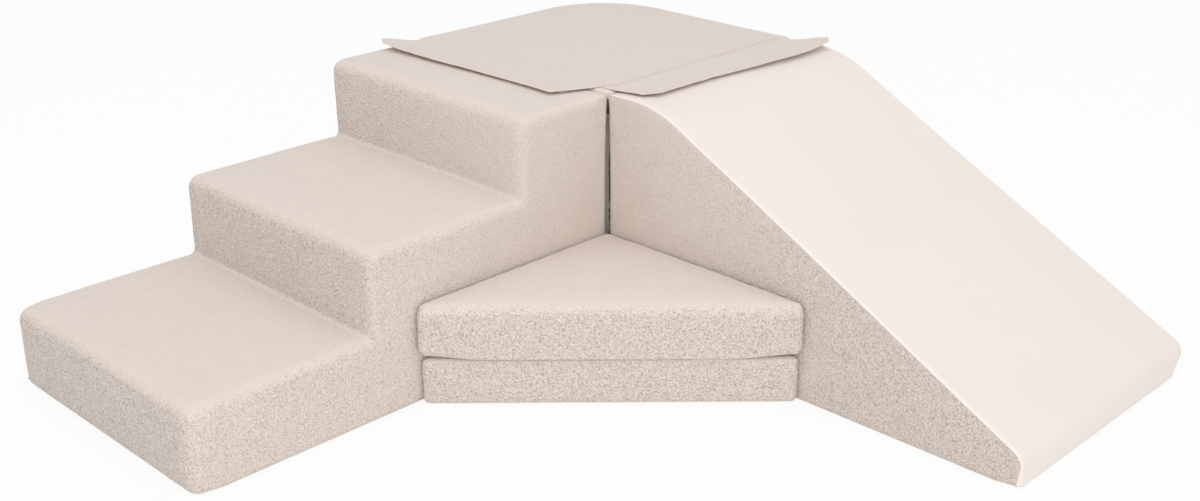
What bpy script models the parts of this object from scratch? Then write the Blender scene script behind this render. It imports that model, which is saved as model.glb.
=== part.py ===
"""Soft play foam climber, in metres, +Z up.

Stairs, a square corner block and a slide ramp stand round a corner, with two triangular mats
stacked in the angle between them. Each module is a foam core in a zipped cloth cover with a
non-slip base panel. Two flaps on the corner block hold the stairs and the ramp to it with
hook-and-loop strips. The origin is on the floor, under the middle of the whole climber.
"""

import math

import bmesh
import bpy
import numpy as np
from mathutils import Vector

OBJECT_NAME = "soft_play_foam_climber"

# Driving sizes of the modules
HEIGHT = 0.45
MODULE_WIDTH = 0.55
STAIR_LENGTH = 0.90
LOWER_TREAD = 0.35
MIDDLE_TREAD = 0.34
RAMP_LENGTH = 0.88
RAMP_LANDING = 0.115
TOE_HEIGHT = 0.058
MAT_LEG = 0.469
LOWER_MAT_THICKNESS = 0.085
UPPER_MAT_THICKNESS = 0.100
STEP_COUNT = 3

# Cloth, foam and the gaps between the pieces
COVER_WALL = 0.003
BASE_THICKNESS = 0.0035
HEM_WIDTH = 0.016
HEM_LIFT = 0.0005
TOUCH_GAP = 0.0003
FOAM_GAP = 0.0005
MODULE_GAP = 0.0006
CUT_OVERRUN = 0.004
MERGE_DISTANCE = 0.00005

# Rounded edges
NOSE_RADIUS = 0.024
SIDE_RADIUS = 0.020
CREASE_RADIUS = 0.007
FLOOR_RADIUS = 0.010
FRONT_FLOOR_RADIUS = 0.014
FRONT_SIDE_RADIUS = 0.026
JOIN_RADIUS = 0.008
BACK_CORNER_RADIUS = 0.180
SHOULDER_RADIUS = 0.060
TOE_RADIUS = 0.014
SLIDE_EDGE_RADIUS = 0.009
OPENING_RADIUS = 0.008
MAT_TIP_RADIUS = 0.006
MAT_RIM_RADIUS = 0.015
BEVEL_STEPS = 3
BACK_CORNER_STEPS = 8

# How far the soft faces swell or draw in
TREAD_CROWN = 0.004
BLOCK_CROWN = 0.006
SLIDE_CROWN = 0.002
MAT_CROWN = 0.005
MAT_TIP_LIFT = 0.006
MAT_FRONT_DRAW = 0.002
SIDE_DRAW = 0.004
STRAIGHT_BAND = 0.055
FLAT_MARGIN = 0.036
MAT_TIP_START_SHARE = 0.8

# Seams that part the cover panels
SLIDE_SEAM_DEPTH = 0.012
TOP_SEAM_DEPTH = 0.014

# Flaps, their sewn strips and their hook-and-loop strips
FLAP_SEW_INSET = 0.022
FLAP_REACH = 0.078
FLAP_THICKNESS = 0.0025
FLAP_NEAR_INSET = 0.036
FLAP_NEAR_MITRE = 0.022
FLAP_FAR_INSET = 0.020
FLAP_FAR_FLARE = 0.016
FLAP_CURL = 0.007
FLAP_CURL_START_SHARE = 0.78
SEWN_STRIP_WIDTH = 0.009
STRIP_THICKNESS = 0.0012
STRIP_WIDTH = 0.040
STRIP_SETBACK = 0.018
STRIP_END_INSET = 0.060

# Zips: slot, tape, coil and slider
ZIP_HEIGHT = 0.034
ZIP_SLOT = 0.0124
ZIP_TAPE_WIDTH = 0.0118
ZIP_TAPE_THICKNESS = 0.0010
ZIP_TAPE_DEPTH = 0.0018
ZIP_COIL_WIDTH = 0.0040
ZIP_COIL_RISE = 0.0012
ZIP_STOP_LENGTH = 0.0040
ZIP_STOP_RISE = 0.0008
SLIDER_LENGTH = 0.0110
SLIDER_WIDTH = 0.0086
SLIDER_PLATE = 0.0009
SLIDER_BRIDGE_LENGTH = 0.0060
SLIDER_BRIDGE_WIDTH = 0.0022
SLIDER_BRIDGE_RISE = 0.0008
STAIR_ZIP_LENGTH = 0.66
RAMP_ZIP_LENGTH = 0.60
BLOCK_ZIP_MARGIN = 0.015
MAT_ZIP_LENGTH = 0.26

# Worked out from the sizes above
STEP_HEIGHT = HEIGHT / STEP_COUNT
TOP_TREAD = STAIR_LENGTH - LOWER_TREAD - MIDDLE_TREAD
INNER_INSET = COVER_WALL + FOAM_GAP
FLAP_LEVEL = HEIGHT + 3 * TOUCH_GAP + 2 * STRIP_THICKNESS
BLOCK_HEIGHT = FLAP_LEVEL - TOUCH_GAP
SLIDER_PROUD = ZIP_COIL_RISE - ZIP_TAPE_DEPTH + TOUCH_GAP + SLIDER_PLATE + SLIDER_BRIDGE_RISE
MAT_GAP = SLIDER_PROUD + TOUCH_GAP
MIDDLE_X = (RAMP_LENGTH + MODULE_GAP - MODULE_WIDTH - SLIDER_PROUD) / 2
MIDDLE_Y = (MODULE_WIDTH + SLIDER_PROUD - STAIR_LENGTH - MODULE_GAP) / 2


def linear(red, green, blue):
    """The linear colour of an sRGB one written in 0 to 255."""
    shares = [value / 255 for value in (red, green, blue)]
    return [s / 12.92 if s <= 0.04045 else ((s + 0.055) / 1.055) ** 2.4 for s in shares]


FINISHES = {
    "boucle_cloth": (linear(216, 203, 194), 0.95, 0.0),
    "smooth_cloth": (linear(225, 212, 204), 0.90, 0.0),
    "slide_leatherette": (linear(241, 232, 227), 0.42, 0.0),
    "non_slip_cloth": (linear(196, 188, 180), 0.85, 0.0),
    "foam": (linear(238, 236, 228), 0.95, 0.0),
    "strip_nylon": (linear(232, 226, 218), 0.80, 0.0),
    "zip_nylon": (linear(206, 193, 183), 0.55, 0.0),
    "slider_metal": (linear(198, 190, 182), 0.35, 1.0),
}


def clear_scene():
    for item in list(bpy.data.objects):
        bpy.data.objects.remove(item, do_unlink=True)


def new_collection(name, hidden=False):
    collection = bpy.data.collections.new(name)
    bpy.context.scene.collection.children.link(collection)
    collection.hide_render = hidden
    return collection


def material(name, finish):
    """A Principled material in one of the finishes, for one piece."""
    colour, roughness, metallic = FINISHES[finish]
    made = bpy.data.materials.new(name)
    made.use_nodes = True
    made.diffuse_color = (*colour, 1.0)
    shader = made.node_tree.nodes["Principled BSDF"]
    shader.inputs["Base Color"].default_value = (*colour, 1.0)
    shader.inputs["Roughness"].default_value = roughness
    shader.inputs["Metallic"].default_value = metallic
    return made


NO_CUTS = ([], [], [])


class Module:
    """An empty that carries one module's pieces, with the shape of its soft faces."""

    def __init__(self, name, parent, location, turn=0.0, shape=None, base_cuts=NO_CUTS):
        self.anchor = bpy.data.objects.new(name + "_anchor", None)
        PARTS.objects.link(self.anchor)
        self.anchor.parent = parent
        self.anchor.location = location
        self.anchor.rotation_euler = (0.0, 0.0, turn)
        self.shape = shape
        self.base_cuts = base_cuts

    def add(self, name, mesh, finish=None, location=(0.0, 0.0, 0.0), turn=0.0):
        """A piece on this module, or a cutter when it has no finish."""
        piece = bpy.data.objects.new(name, mesh)
        (PARTS if finish else CUTTERS).objects.link(piece)
        piece.parent = self.anchor
        piece.location = location
        piece.rotation_euler = (0.0, 0.0, turn)
        if finish:
            mesh.materials.append(material(name, finish))
        else:
            piece.hide_render = True
            piece.display_type = "WIRE"
        return piece


def boolean(piece, cutter, operation="DIFFERENCE"):
    modifier = piece.modifiers.new(cutter.name, "BOOLEAN")
    modifier.operation = operation
    modifier.solver = "EXACT"
    modifier.object = cutter


def clean_faces(piece):
    """Joins the flat faces that the cuts have split, welds their stray corners, and triangulates."""
    weld = piece.modifiers.new("weld", "WELD")
    weld.merge_threshold = MERGE_DISTANCE
    flatten = piece.modifiers.new("flatten", "DECIMATE")
    flatten.decimate_type = "DISSOLVE"
    flatten.angle_limit = math.radians(0.05)
    piece.modifiers.new("triangles", "TRIANGULATE")


def swell(share):
    """Zero at both ends of a run, one in its middle."""
    inside = np.clip(share, 0, 1)
    return 4 * inside * (1 - inside)


def turn_at(outline, index):
    """The angle that the outline turns through at a corner, negative where it is hollow."""
    count = len(outline)
    into = outline[index] - outline[index - 1]
    out = outline[(index + 1) % count] - outline[index]
    return math.atan2(into.x * out.y - into.y * out.x, into.dot(out))


def inset_outline(outline, inset):
    """The outline with each side moved inwards, its corners mitred."""
    corners = [Vector(point) for point in outline]
    moved = []
    for index, corner in enumerate(corners):
        into = (corner - corners[index - 1]).normalized()
        out = (corners[(index + 1) % len(corners)] - corner).normalized()
        normals = Vector((-into.y - out.y, into.x + out.x))
        moved.append(corner + normals * (inset / (1 + into.dot(out))))
    return moved


def grown(radius, inset, hollow=False):
    """An edge's radius once its faces are moved inwards, zero where it was sharp."""
    if radius == 0:
        return 0.0
    return radius + inset if hollow else max(radius - inset, radius / 8)


def rounded_prism(outline, radii, span, rims, inset=0.0, upright=False, steps=BEVEL_STEPS):
    """A closed prism with its own radius on every edge.

    The outline runs anticlockwise. radii holds one value a corner. rims holds one value a side
    for the first end and one a side for the last. upright turns an outline drawn in X and Z, so
    that its span runs along Y; otherwise the outline lies in X and Y and its span runs up Z.
    """
    corners = inset_outline(outline, inset)
    count = len(corners)
    build = bmesh.new()
    weight = build.edges.layers.float.new("bevel_weight_edge")
    ends = []
    for level in span:
        places = [(c.x, level, c.y) if upright else (c.x, c.y, level) for c in corners]
        ends.append([build.verts.new(place) for place in places])
    build.faces.new(ends[0])
    build.faces.new(list(reversed(ends[1])))
    for index in range(count):
        after = (index + 1) % count
        build.faces.new((ends[0][index], ends[1][index], ends[1][after], ends[0][after]))
    bmesh.ops.recalc_face_normals(build, faces=build.faces[:])
    widths = {}
    for index in range(count):
        angle = turn_at(corners, index)
        radius = grown(radii[index], inset, angle < 0)
        long_edge = build.edges.get((ends[0][index], ends[1][index]))
        widths[long_edge] = radius * math.tan(abs(angle) / 2)
        for end in (0, 1):
            after = (index + 1) % count
            rim = build.edges.get((ends[end][index], ends[end][after]))
            widths[rim] = grown(rims[end][index], inset)
    widest = max(widths.values())
    for edge, width in widths.items():
        edge[weight] = width / widest if widest else 0.0
    mesh = bpy.data.meshes.new("rounded_prism")
    build.to_mesh(mesh)
    build.free()
    return beveled(mesh, widest, steps) if widest else mesh


def beveled(mesh, width, steps):
    """The mesh with its weighted edges rounded."""
    holder = bpy.data.objects.new("bevel_holder", mesh)
    CUTTERS.objects.link(holder)
    modifier = holder.modifiers.new("edges", "BEVEL")
    modifier.limit_method = "WEIGHT"
    modifier.width = width
    modifier.segments = steps
    modifier.use_clamp_overlap = False
    graph = bpy.context.evaluated_depsgraph_get()
    graph.update()
    done = bpy.data.meshes.new_from_object(holder.evaluated_get(graph))
    bpy.data.objects.remove(holder, do_unlink=True)
    return done


def shaped(mesh, cuts, shape):
    """The mesh cut at the named places, then moved by the shape of the soft faces."""
    build = bmesh.new()
    build.from_mesh(mesh)
    for axis, places in enumerate(cuts):
        normal = [0.0, 0.0, 0.0]
        normal[axis] = 1.0
        for place in places:
            point = [place * part for part in normal]
            everything = build.verts[:] + build.edges[:] + build.faces[:]
            plane = {"plane_co": point, "plane_no": normal, "dist": MERGE_DISTANCE}
            bmesh.ops.bisect_plane(build, geom=everything, **plane)
    points = np.array([corner.co for corner in build.verts])
    for corner, moved in zip(build.verts, np.stack(shape(*points.T), axis=1)):
        corner.co = moved
    bmesh.ops.triangulate(build, faces=build.faces[:], quad_method="SHORT_EDGE")
    bmesh.ops.recalc_face_normals(build, faces=build.faces[:])
    build.to_mesh(mesh)
    build.free()
    mesh.shade_smooth()
    mesh.set_sharp_from_angle(angle=math.radians(40))
    return mesh


def quarters(length):
    return [length * step / 4 for step in (1, 2, 3)]


# The stairs: X runs down the steps, Y across them, Z up
def stair_edges():
    """Where the treads begin and end, from the back of the stairs to the front."""
    return [0.0, TOP_TREAD, TOP_TREAD + MIDDLE_TREAD, STAIR_LENGTH]


def stair_crown(x, y):
    """How far the tread at this place stands above its edges."""
    edges = stair_edges()
    rise = np.zeros_like(x)
    for start, end in zip(edges, edges[1:]):
        on_tread = (x > start) & (x < end)
        rise = np.where(on_tread, swell((x - start) / (end - start)), rise)
    return TREAD_CROWN * rise * swell(y / MODULE_WIDTH)


def side_draw(x, y, z, length):
    """How far a long side is drawn in: most at the back and half way up, nothing at the front."""
    level = swell((z - STRAIGHT_BAND) / (HEIGHT - STRAIGHT_BAND))
    along = np.cos(np.clip(x / length, 0, 1) * math.pi / 2)
    return SIDE_DRAW * level * along * (1 - 2 * y / MODULE_WIDTH)


def stair_shape(x, y, z):
    steps_down = np.searchsorted(stair_edges()[1:-1], x)
    slab_floor = HEIGHT - STEP_HEIGHT * (steps_down + 1)
    height_share = np.clip((z - slab_floor) / STEP_HEIGHT, 0, 1)
    return x, y + side_draw(x, y, z, STAIR_LENGTH), z + stair_crown(x, y) * height_share


def stair_outline():
    edges = stair_edges()
    outline = [(0.0, HEM_LIFT), (STAIR_LENGTH, HEM_LIFT)]
    for step in range(STEP_COUNT):
        level = STEP_HEIGHT * (step + 1)
        outline.append((edges[STEP_COUNT - step], level))
        outline.append((edges[STEP_COUNT - step - 1], level))
    return outline


def stair_cuts():
    edges = stair_edges()
    middles = [(start + end) / 2 for start, end in zip(edges, edges[1:])]
    levels = [STRAIGHT_BAND] + [STEP_HEIGHT * (step + 0.5) for step in range(1, STEP_COUNT)]
    return middles, quarters(MODULE_WIDTH), levels


def stair_body(inset):
    """The whole outer form of the stairs, or the form of what lies inside their cover."""
    noses = [NOSE_RADIUS, CREASE_RADIUS] * (STEP_COUNT - 1) + [NOSE_RADIUS, JOIN_RADIUS]
    radii = [FLOOR_RADIUS, FRONT_FLOOR_RADIUS] + noses
    rims = [FLOOR_RADIUS, FRONT_SIDE_RADIUS] + [SIDE_RADIUS] * (2 * STEP_COUNT - 1) + [JOIN_RADIUS]
    span = (inset, MODULE_WIDTH - inset)
    mesh = rounded_prism(stair_outline(), radii, span, (rims, rims), inset, upright=True)
    return shaped(mesh, stair_cuts(), stair_shape)


def stair_slab(step):
    """One slab of the glued core, from its own floor to just under its tread."""
    bottom = HEM_LIFT + INNER_INSET if step == 0 else STEP_HEIGHT * step - INNER_INSET + TOUCH_GAP
    top = STEP_HEIGHT * (step + 1) - INNER_INSET
    front = stair_edges()[STEP_COUNT - step] - INNER_INSET
    outline = [(INNER_INSET, bottom), (front, bottom), (front, top), (INNER_INSET, top)]
    side, back = SIDE_RADIUS - INNER_INSET, JOIN_RADIUS - INNER_INSET
    floor, front_floor, front_side = 0.0, 0.0, side
    if step == 0:
        floor = FLOOR_RADIUS - INNER_INSET
        front_floor = FRONT_FLOOR_RADIUS - INNER_INSET
        front_side = FRONT_SIDE_RADIUS - INNER_INSET
    radii = [floor, front_floor, NOSE_RADIUS - INNER_INSET, back]
    rims = [floor, front_side, side, back]
    span = (INNER_INSET, MODULE_WIDTH - INNER_INSET)
    mesh = rounded_prism(outline, radii, span, (rims, rims), upright=True)
    along, across, levels = stair_cuts()
    return shaped(mesh, (along + stair_edges()[1:-1], across, levels), stair_shape)


# The ramp: X runs down the slide, Y across it, Z up
def ramp_crown(x, y):
    return SLIDE_CROWN * swell(x / RAMP_LENGTH) * swell(y / MODULE_WIDTH)


def ramp_shape(x, y, z):
    height_share = np.clip(z / HEIGHT, 0, 1)
    return x, y + side_draw(x, y, z, RAMP_LENGTH), z + ramp_crown(x, y) * height_share


def ramp_outline():
    toe, shoulder = (RAMP_LENGTH, TOE_HEIGHT), (RAMP_LANDING, HEIGHT)
    return [(0.0, HEM_LIFT), (RAMP_LENGTH, HEM_LIFT), toe, shoulder, (0.0, HEIGHT)]


def ramp_cuts():
    return quarters(RAMP_LENGTH), quarters(MODULE_WIDTH), [STRAIGHT_BAND, HEIGHT / 2]


def ramp_body(inset):
    radii = [FLOOR_RADIUS, FLOOR_RADIUS, TOE_RADIUS, SHOULDER_RADIUS, JOIN_RADIUS]
    rims = [FLOOR_RADIUS, SLIDE_EDGE_RADIUS, SLIDE_EDGE_RADIUS, SLIDE_EDGE_RADIUS, JOIN_RADIUS]
    span = (inset, MODULE_WIDTH - inset)
    mesh = rounded_prism(ramp_outline(), radii, span, (rims, rims), inset, upright=True)
    return shaped(mesh, ramp_cuts(), ramp_shape)


def ramp_seam_form(depth):
    """What lies deeper than the seam, under the landing, the slope and the toe face."""
    outline = inset_outline(ramp_outline(), depth)
    outline[0] = Vector((-CUT_OVERRUN, -CUT_OVERRUN))
    outline[1] = Vector((outline[1].x, -CUT_OVERRUN))
    outline[-1] = Vector((-CUT_OVERRUN, outline[-1].y))
    sharp = [0.0] * len(outline)
    radii = [0.0, 0.0, 0.0, SHOULDER_RADIUS - depth, 0.0]
    span = (-CUT_OVERRUN, MODULE_WIDTH + CUT_OVERRUN)
    return rounded_prism(outline, radii, span, (sharp, sharp), upright=True, steps=2)


# The corner block: X faces the ramp, -Y faces the stairs, Z up
def block_crown(x, y):
    inner = MODULE_WIDTH - 2 * FLAT_MARGIN
    across = swell((x - FLAT_MARGIN) / inner)
    return BLOCK_CROWN * across * swell((y - FLAT_MARGIN) / inner)


def block_shape(x, y, z):
    level = SIDE_DRAW * swell((z - STRAIGHT_BAND) / (HEIGHT - STRAIGHT_BAND))
    pull_x = level * swell(y / MODULE_WIDTH) * (1 - 2 * x / MODULE_WIDTH)
    pull_y = level * swell(x / MODULE_WIDTH) * (1 - 2 * y / MODULE_WIDTH)
    rise = block_crown(x, y) * np.clip(z / BLOCK_HEIGHT, 0, 1)
    return x + pull_x, y + pull_y, z + rise


def block_cuts():
    middle = quarters(MODULE_WIDTH)
    across = [FLAT_MARGIN] + middle + [MODULE_WIDTH - FLAT_MARGIN]
    return across, across, [STRAIGHT_BAND, HEIGHT / 2]


def block_plan():
    """The block from above: square, but for the wide round corner between its two outer sides."""
    outline = [(0.0, 0.0), (MODULE_WIDTH, 0.0), (MODULE_WIDTH, MODULE_WIDTH)]
    middle = (BACK_CORNER_RADIUS, MODULE_WIDTH - BACK_CORNER_RADIUS)
    for step in range(BACK_CORNER_STEPS + 1):
        angle = math.pi / 2 * (1 + step / BACK_CORNER_STEPS)
        x = middle[0] + BACK_CORNER_RADIUS * math.cos(angle)
        y = middle[1] + BACK_CORNER_RADIUS * math.sin(angle)
        outline.append((x, y))
    return outline


def block_body(inset):
    outline = block_plan()
    outer = len(outline) - 2
    radii = [SIDE_RADIUS] * 3 + [0.0] * (BACK_CORNER_STEPS + 1)
    low_rims = [FLOOR_RADIUS] * len(outline)
    high_rims = [JOIN_RADIUS] * 2 + [NOSE_RADIUS] * outer
    span = (HEM_LIFT + inset, BLOCK_HEIGHT - inset)
    mesh = rounded_prism(outline, radii, span, (low_rims, high_rims), inset)
    return shaped(mesh, block_cuts(), block_shape)


def block_seam_form(depth):
    """What lies lower than the seam of the top panel."""
    low, high = -CUT_OVERRUN, MODULE_WIDTH + CUT_OVERRUN
    outline = [(low, low), (high, low), (high, high), (low, high)]
    sharp = [0.0] * len(outline)
    return rounded_prism(outline, sharp, (low, BLOCK_HEIGHT - depth), (sharp, sharp))


# The mats: the square corner at the origin, one leg along -Y, one along X
def mat_outline():
    return [(0.0, 0.0), (0.0, -MAT_LEG), (MAT_LEG, 0.0)]


def mat_shape(thickness, upper):
    """The lower mat is pressed flat. The upper one swells, and its two tips lift."""
    def shape(x, y, z):
        share_x, share_y = x / MAT_LEG, -y / MAT_LEG
        front = np.clip(share_x + share_y, 0, 1)
        along = swell((share_x - share_y + 1) / 2)
        pull = MAT_FRONT_DRAW * front * along * swell(z / thickness) * math.sqrt(0.5)
        if not upper:
            return x - pull, y + pull, z
        level = np.clip(z / thickness, 0, 1)
        crown = 27 * np.clip(share_x, 0, 1) * np.clip(share_y, 0, 1) * (1 - front)
        reach = np.maximum(share_x, share_y) - MAT_TIP_START_SHARE
        lift = MAT_TIP_LIFT * np.clip(reach / (1 - MAT_TIP_START_SHARE), 0, 1) * (1 - level)
        return x - pull, y + pull, z + MAT_CROWN * crown * level + lift
    return shape


def mat_cuts(thickness):
    along = [MAT_LEG / 3, MAT_LEG * 2 / 3, MAT_LEG * MAT_TIP_START_SHARE]
    return along, [-place for place in along], [thickness / 2]


def mat_body(inset, thickness, rim, shape):
    radii = [SIDE_RADIUS, MAT_TIP_RADIUS, MAT_TIP_RADIUS]
    low_rims = [FLOOR_RADIUS] * len(radii)
    high_rims = [rim] * len(radii)
    span = (HEM_LIFT + inset, thickness - inset)
    mesh = rounded_prism(mat_outline(), radii, span, (low_rims, high_rims), inset)
    return shaped(mesh, mat_cuts(thickness), shape)


# Covers, bases and zips, alike on every module
def plan_plate(module, outline, inset, span):
    """A flat plate under a module, or the opening in the cover that it fills."""
    places = [Vector(point) for point in outline]
    turns = [turn_at(places, index) for index in range(len(places))]
    radii = [OPENING_RADIUS + inset if turn > math.radians(45) else 0.0 for turn in turns]
    sharp = [0.0] * len(outline)
    mesh = rounded_prism(outline, radii, span, (sharp, sharp), inset)
    return shaped(mesh, module.base_cuts, module.shape)


def finish_cover(module, name, cover, hollow, plan, zip_length, zip_place, zip_turn):
    """Opens the cover below and at its zip, and adds its base panel, zip and slider."""
    inside = module.add(name + "_hollow", hollow)
    floor_span = (-CUT_OVERRUN, HEM_LIFT + COVER_WALL + CUT_OVERRUN)
    opening = plan_plate(module, plan, HEM_WIDTH, floor_span)
    below = module.add(name + "_base_opening", opening)
    slot = box((zip_length, 2 * CUT_OVERRUN + COVER_WALL, ZIP_SLOT))
    slot_cutter = module.add(name + "_zip_slot", slot, None, zip_place, zip_turn)
    for cutter in (inside, below, slot_cutter):
        boolean(cover, cutter)
    base = plan_plate(module, plan, HEM_WIDTH + TOUCH_GAP, (0.0, BASE_THICKNESS))
    module.add(name + "_base_panel", base, "non_slip_cloth")
    add_zip(module, name, zip_length, zip_place, zip_turn)
    return inside, below


def box(size, centre=(0.0, 0.0, 0.0)):
    """A closed box of this size round its centre."""
    build = bmesh.new()
    bmesh.ops.create_cube(build, size=1)
    bmesh.ops.scale(build, vec=size, verts=build.verts[:])
    bmesh.ops.translate(build, vec=centre, verts=build.verts[:])
    mesh = bpy.data.meshes.new("box")
    build.to_mesh(mesh)
    build.free()
    return mesh


def extruded(outline, length):
    """An outline drawn in Y and Z, extruded along X to both sides of the middle."""
    build = bmesh.new()
    face = build.faces.new([build.verts.new((-length / 2, y, z)) for y, z in outline])
    moved = bmesh.ops.extrude_face_region(build, geom=[face])["geom"]
    corners = [item for item in moved if isinstance(item, bmesh.types.BMVert)]
    bmesh.ops.translate(build, vec=(length, 0.0, 0.0), verts=corners)
    bmesh.ops.recalc_face_normals(build, faces=build.faces[:])
    mesh = bpy.data.meshes.new("extruded")
    build.to_mesh(mesh)
    build.free()
    return mesh


def add_zip(module, name, slot_length, place, turn):
    """A zip along X that faces +Y before it is turned: tape, coil, two stops and a slider."""
    length = slot_length - 2 * TOUCH_GAP
    tape_top = -ZIP_TAPE_DEPTH
    coil_top = tape_top + ZIP_COIL_RISE
    half_tape, half_coil = ZIP_TAPE_WIDTH / 2, ZIP_COIL_WIDTH / 2
    tape_back = tape_top - ZIP_TAPE_THICKNESS
    right = [(tape_back, half_tape), (tape_top, half_tape), (tape_top, half_coil)]
    right.append((coil_top, half_coil))
    outline = right + [(y, -z) for y, z in reversed(right)]
    chain = module.add(name + "_zip", extruded(outline, length), "zip_nylon", place, turn)
    stop_size = (ZIP_STOP_LENGTH, ZIP_COIL_RISE + ZIP_STOP_RISE + ZIP_TAPE_THICKNESS / 2, ZIP_SLOT / 2)
    stop_middle = tape_top - ZIP_TAPE_THICKNESS / 2 + stop_size[1] / 2
    stop_end = (length - ZIP_STOP_LENGTH) / 2 - CUT_OVERRUN
    for side, end in (("near", -stop_end), ("far", stop_end)):
        stop = box(stop_size, (end, stop_middle, 0.0))
        boolean(chain, module.add(f"{name}_zip_stop_{side}", stop, None, place, turn), "UNION")
    add_slider(module, name, stop_end - (ZIP_STOP_LENGTH + SLIDER_LENGTH) / 2 - TOUCH_GAP, place, turn)


def add_slider(module, name, rest, place, turn):
    """A slider with no pull tab, over the coil, at the closed end of its zip."""
    tape_side = -ZIP_TAPE_DEPTH + TOUCH_GAP
    channel_top = -ZIP_TAPE_DEPTH + ZIP_COIL_RISE + TOUCH_GAP
    plate_top = channel_top + SLIDER_PLATE
    outer, inner = SLIDER_WIDTH / 2, ZIP_COIL_WIDTH / 2 + TOUCH_GAP
    right = [(channel_top, inner), (tape_side, inner), (tape_side, outer), (plate_top, outer)]
    outline = right + [(y, -z) for y, z in reversed(right)]
    along = Vector((math.cos(turn), math.sin(turn), 0.0)) * rest
    seat = Vector(place) + along
    slider = module.add(name + "_zip_slider", extruded(outline, SLIDER_LENGTH), "slider_metal", seat, turn)
    bridge_size = (SLIDER_BRIDGE_LENGTH, SLIDER_BRIDGE_RISE + SLIDER_PLATE / 2, SLIDER_BRIDGE_WIDTH)
    bridge_middle = plate_top + SLIDER_BRIDGE_RISE - bridge_size[1] / 2
    bridge = box(bridge_size, (0.0, bridge_middle, 0.0))
    boolean(slider, module.add(name + "_slider_bridge", bridge, None, seat, turn), "UNION")


def rectangle(length, width):
    return [(0.0, 0.0), (length, 0.0), (length, width), (0.0, width)]


def add_stairs(parent):
    place = (-MODULE_WIDTH, -MODULE_GAP, 0.0)
    module = Module("stairs", parent, place, -math.pi / 2, stair_shape)
    cover = module.add("stairs_cover", stair_body(0.0), "boucle_cloth")
    zip_place = (STAIR_LENGTH / 2, 0.0, ZIP_HEIGHT)
    plan = rectangle(STAIR_LENGTH, MODULE_WIDTH)
    hollow = stair_body(COVER_WALL)
    finish_cover(module, "stairs", cover, hollow, plan, STAIR_ZIP_LENGTH, zip_place, math.pi)
    clean_faces(cover)
    for step, level in enumerate(("lower", "middle", "upper")):
        module.add(f"stairs_foam_{level}_slab", stair_slab(step), "foam")
    return module


def add_ramp(parent):
    module = Module("ramp", parent, (MODULE_GAP, 0.0, 0.0), shape=ramp_shape)
    cover = module.add("ramp_cover", ramp_body(0.0), "boucle_cloth")
    zip_place = (RAMP_LENGTH / 2, MODULE_WIDTH, ZIP_HEIGHT)
    plan = rectangle(RAMP_LENGTH, MODULE_WIDTH)
    hollow = ramp_body(COVER_WALL)
    cutters = finish_cover(module, "ramp", cover, hollow, plan, RAMP_ZIP_LENGTH, zip_place, 0.0)
    under = module.add("ramp_seam_form", ramp_seam_form(SLIDE_SEAM_DEPTH + TOUCH_GAP))
    boolean(cover, under, "INTERSECT")
    panel = module.add("ramp_slide_panel", ramp_body(0.0), "slide_leatherette")
    for cutter in cutters:
        boolean(panel, cutter)
    boolean(panel, module.add("ramp_panel_form", ramp_seam_form(SLIDE_SEAM_DEPTH)))
    clean_faces(cover)
    clean_faces(panel)
    module.add("ramp_foam_core", ramp_body(INNER_INSET), "foam")
    return module


def add_block(parent):
    module = Module("block", parent, (-MODULE_WIDTH, 0.0, 0.0), shape=block_shape)
    cover = module.add("block_cover", block_body(0.0), "boucle_cloth")
    zip_start, zip_end = BACK_CORNER_RADIUS + BLOCK_ZIP_MARGIN, MODULE_WIDTH - SIDE_RADIUS - BLOCK_ZIP_MARGIN
    zip_place = ((zip_start + zip_end) / 2, MODULE_WIDTH, ZIP_HEIGHT)
    plan = block_plan()
    hollow = block_body(COVER_WALL)
    zip_length = zip_end - zip_start
    inside, _ = finish_cover(module, "block", cover, hollow, plan, zip_length, zip_place, 0.0)
    under = module.add("block_seam_form", block_seam_form(TOP_SEAM_DEPTH + TOUCH_GAP))
    boolean(cover, under, "INTERSECT")
    panel = module.add("block_top_panel", block_body(0.0), "smooth_cloth")
    boolean(panel, inside)
    boolean(panel, module.add("block_panel_form", block_seam_form(TOP_SEAM_DEPTH)))
    clean_faces(cover)
    clean_faces(panel)
    module.add("block_foam_core", block_body(INNER_INSET), "foam")


def add_mat(parent, name, level, thickness, rim, upper=False):
    shape = mat_shape(thickness, upper)
    base_cuts = (*mat_cuts(thickness)[:2], [])
    module = Module(name, parent, (MAT_GAP, -MAT_GAP, level), 0.0, shape, base_cuts)
    cover = module.add(name + "_cover", mat_body(0.0, thickness, rim, shape), "boucle_cloth")
    zip_place = (0.0, -MAT_LEG / 2, thickness / 2)
    hollow = mat_body(COVER_WALL, thickness, rim, shape)
    plan = mat_outline()
    finish_cover(module, name, cover, hollow, plan, MAT_ZIP_LENGTH, zip_place, math.pi / 2)
    clean_faces(cover)
    module.add(name + "_foam_core", mat_body(INNER_INSET, thickness, rim, shape), "foam")


# Flaps: U runs along the hinge from the inner corner, V from the hinge to the free edge
def over_stairs(u, v):
    """Where a place on the flap over the stairs lies, in the frame of the inner corner."""
    return -u, FLAP_SEW_INSET - v


def over_ramp(u, v):
    return v - FLAP_SEW_INSET, u


def on_stairs(u, v):
    """The same place on the flap over the stairs, in the stairs' own frame."""
    return v - FLAP_SEW_INSET - MODULE_GAP, MODULE_WIDTH - u


def on_ramp(u, v):
    return v - FLAP_SEW_INSET - MODULE_GAP, u


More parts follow.
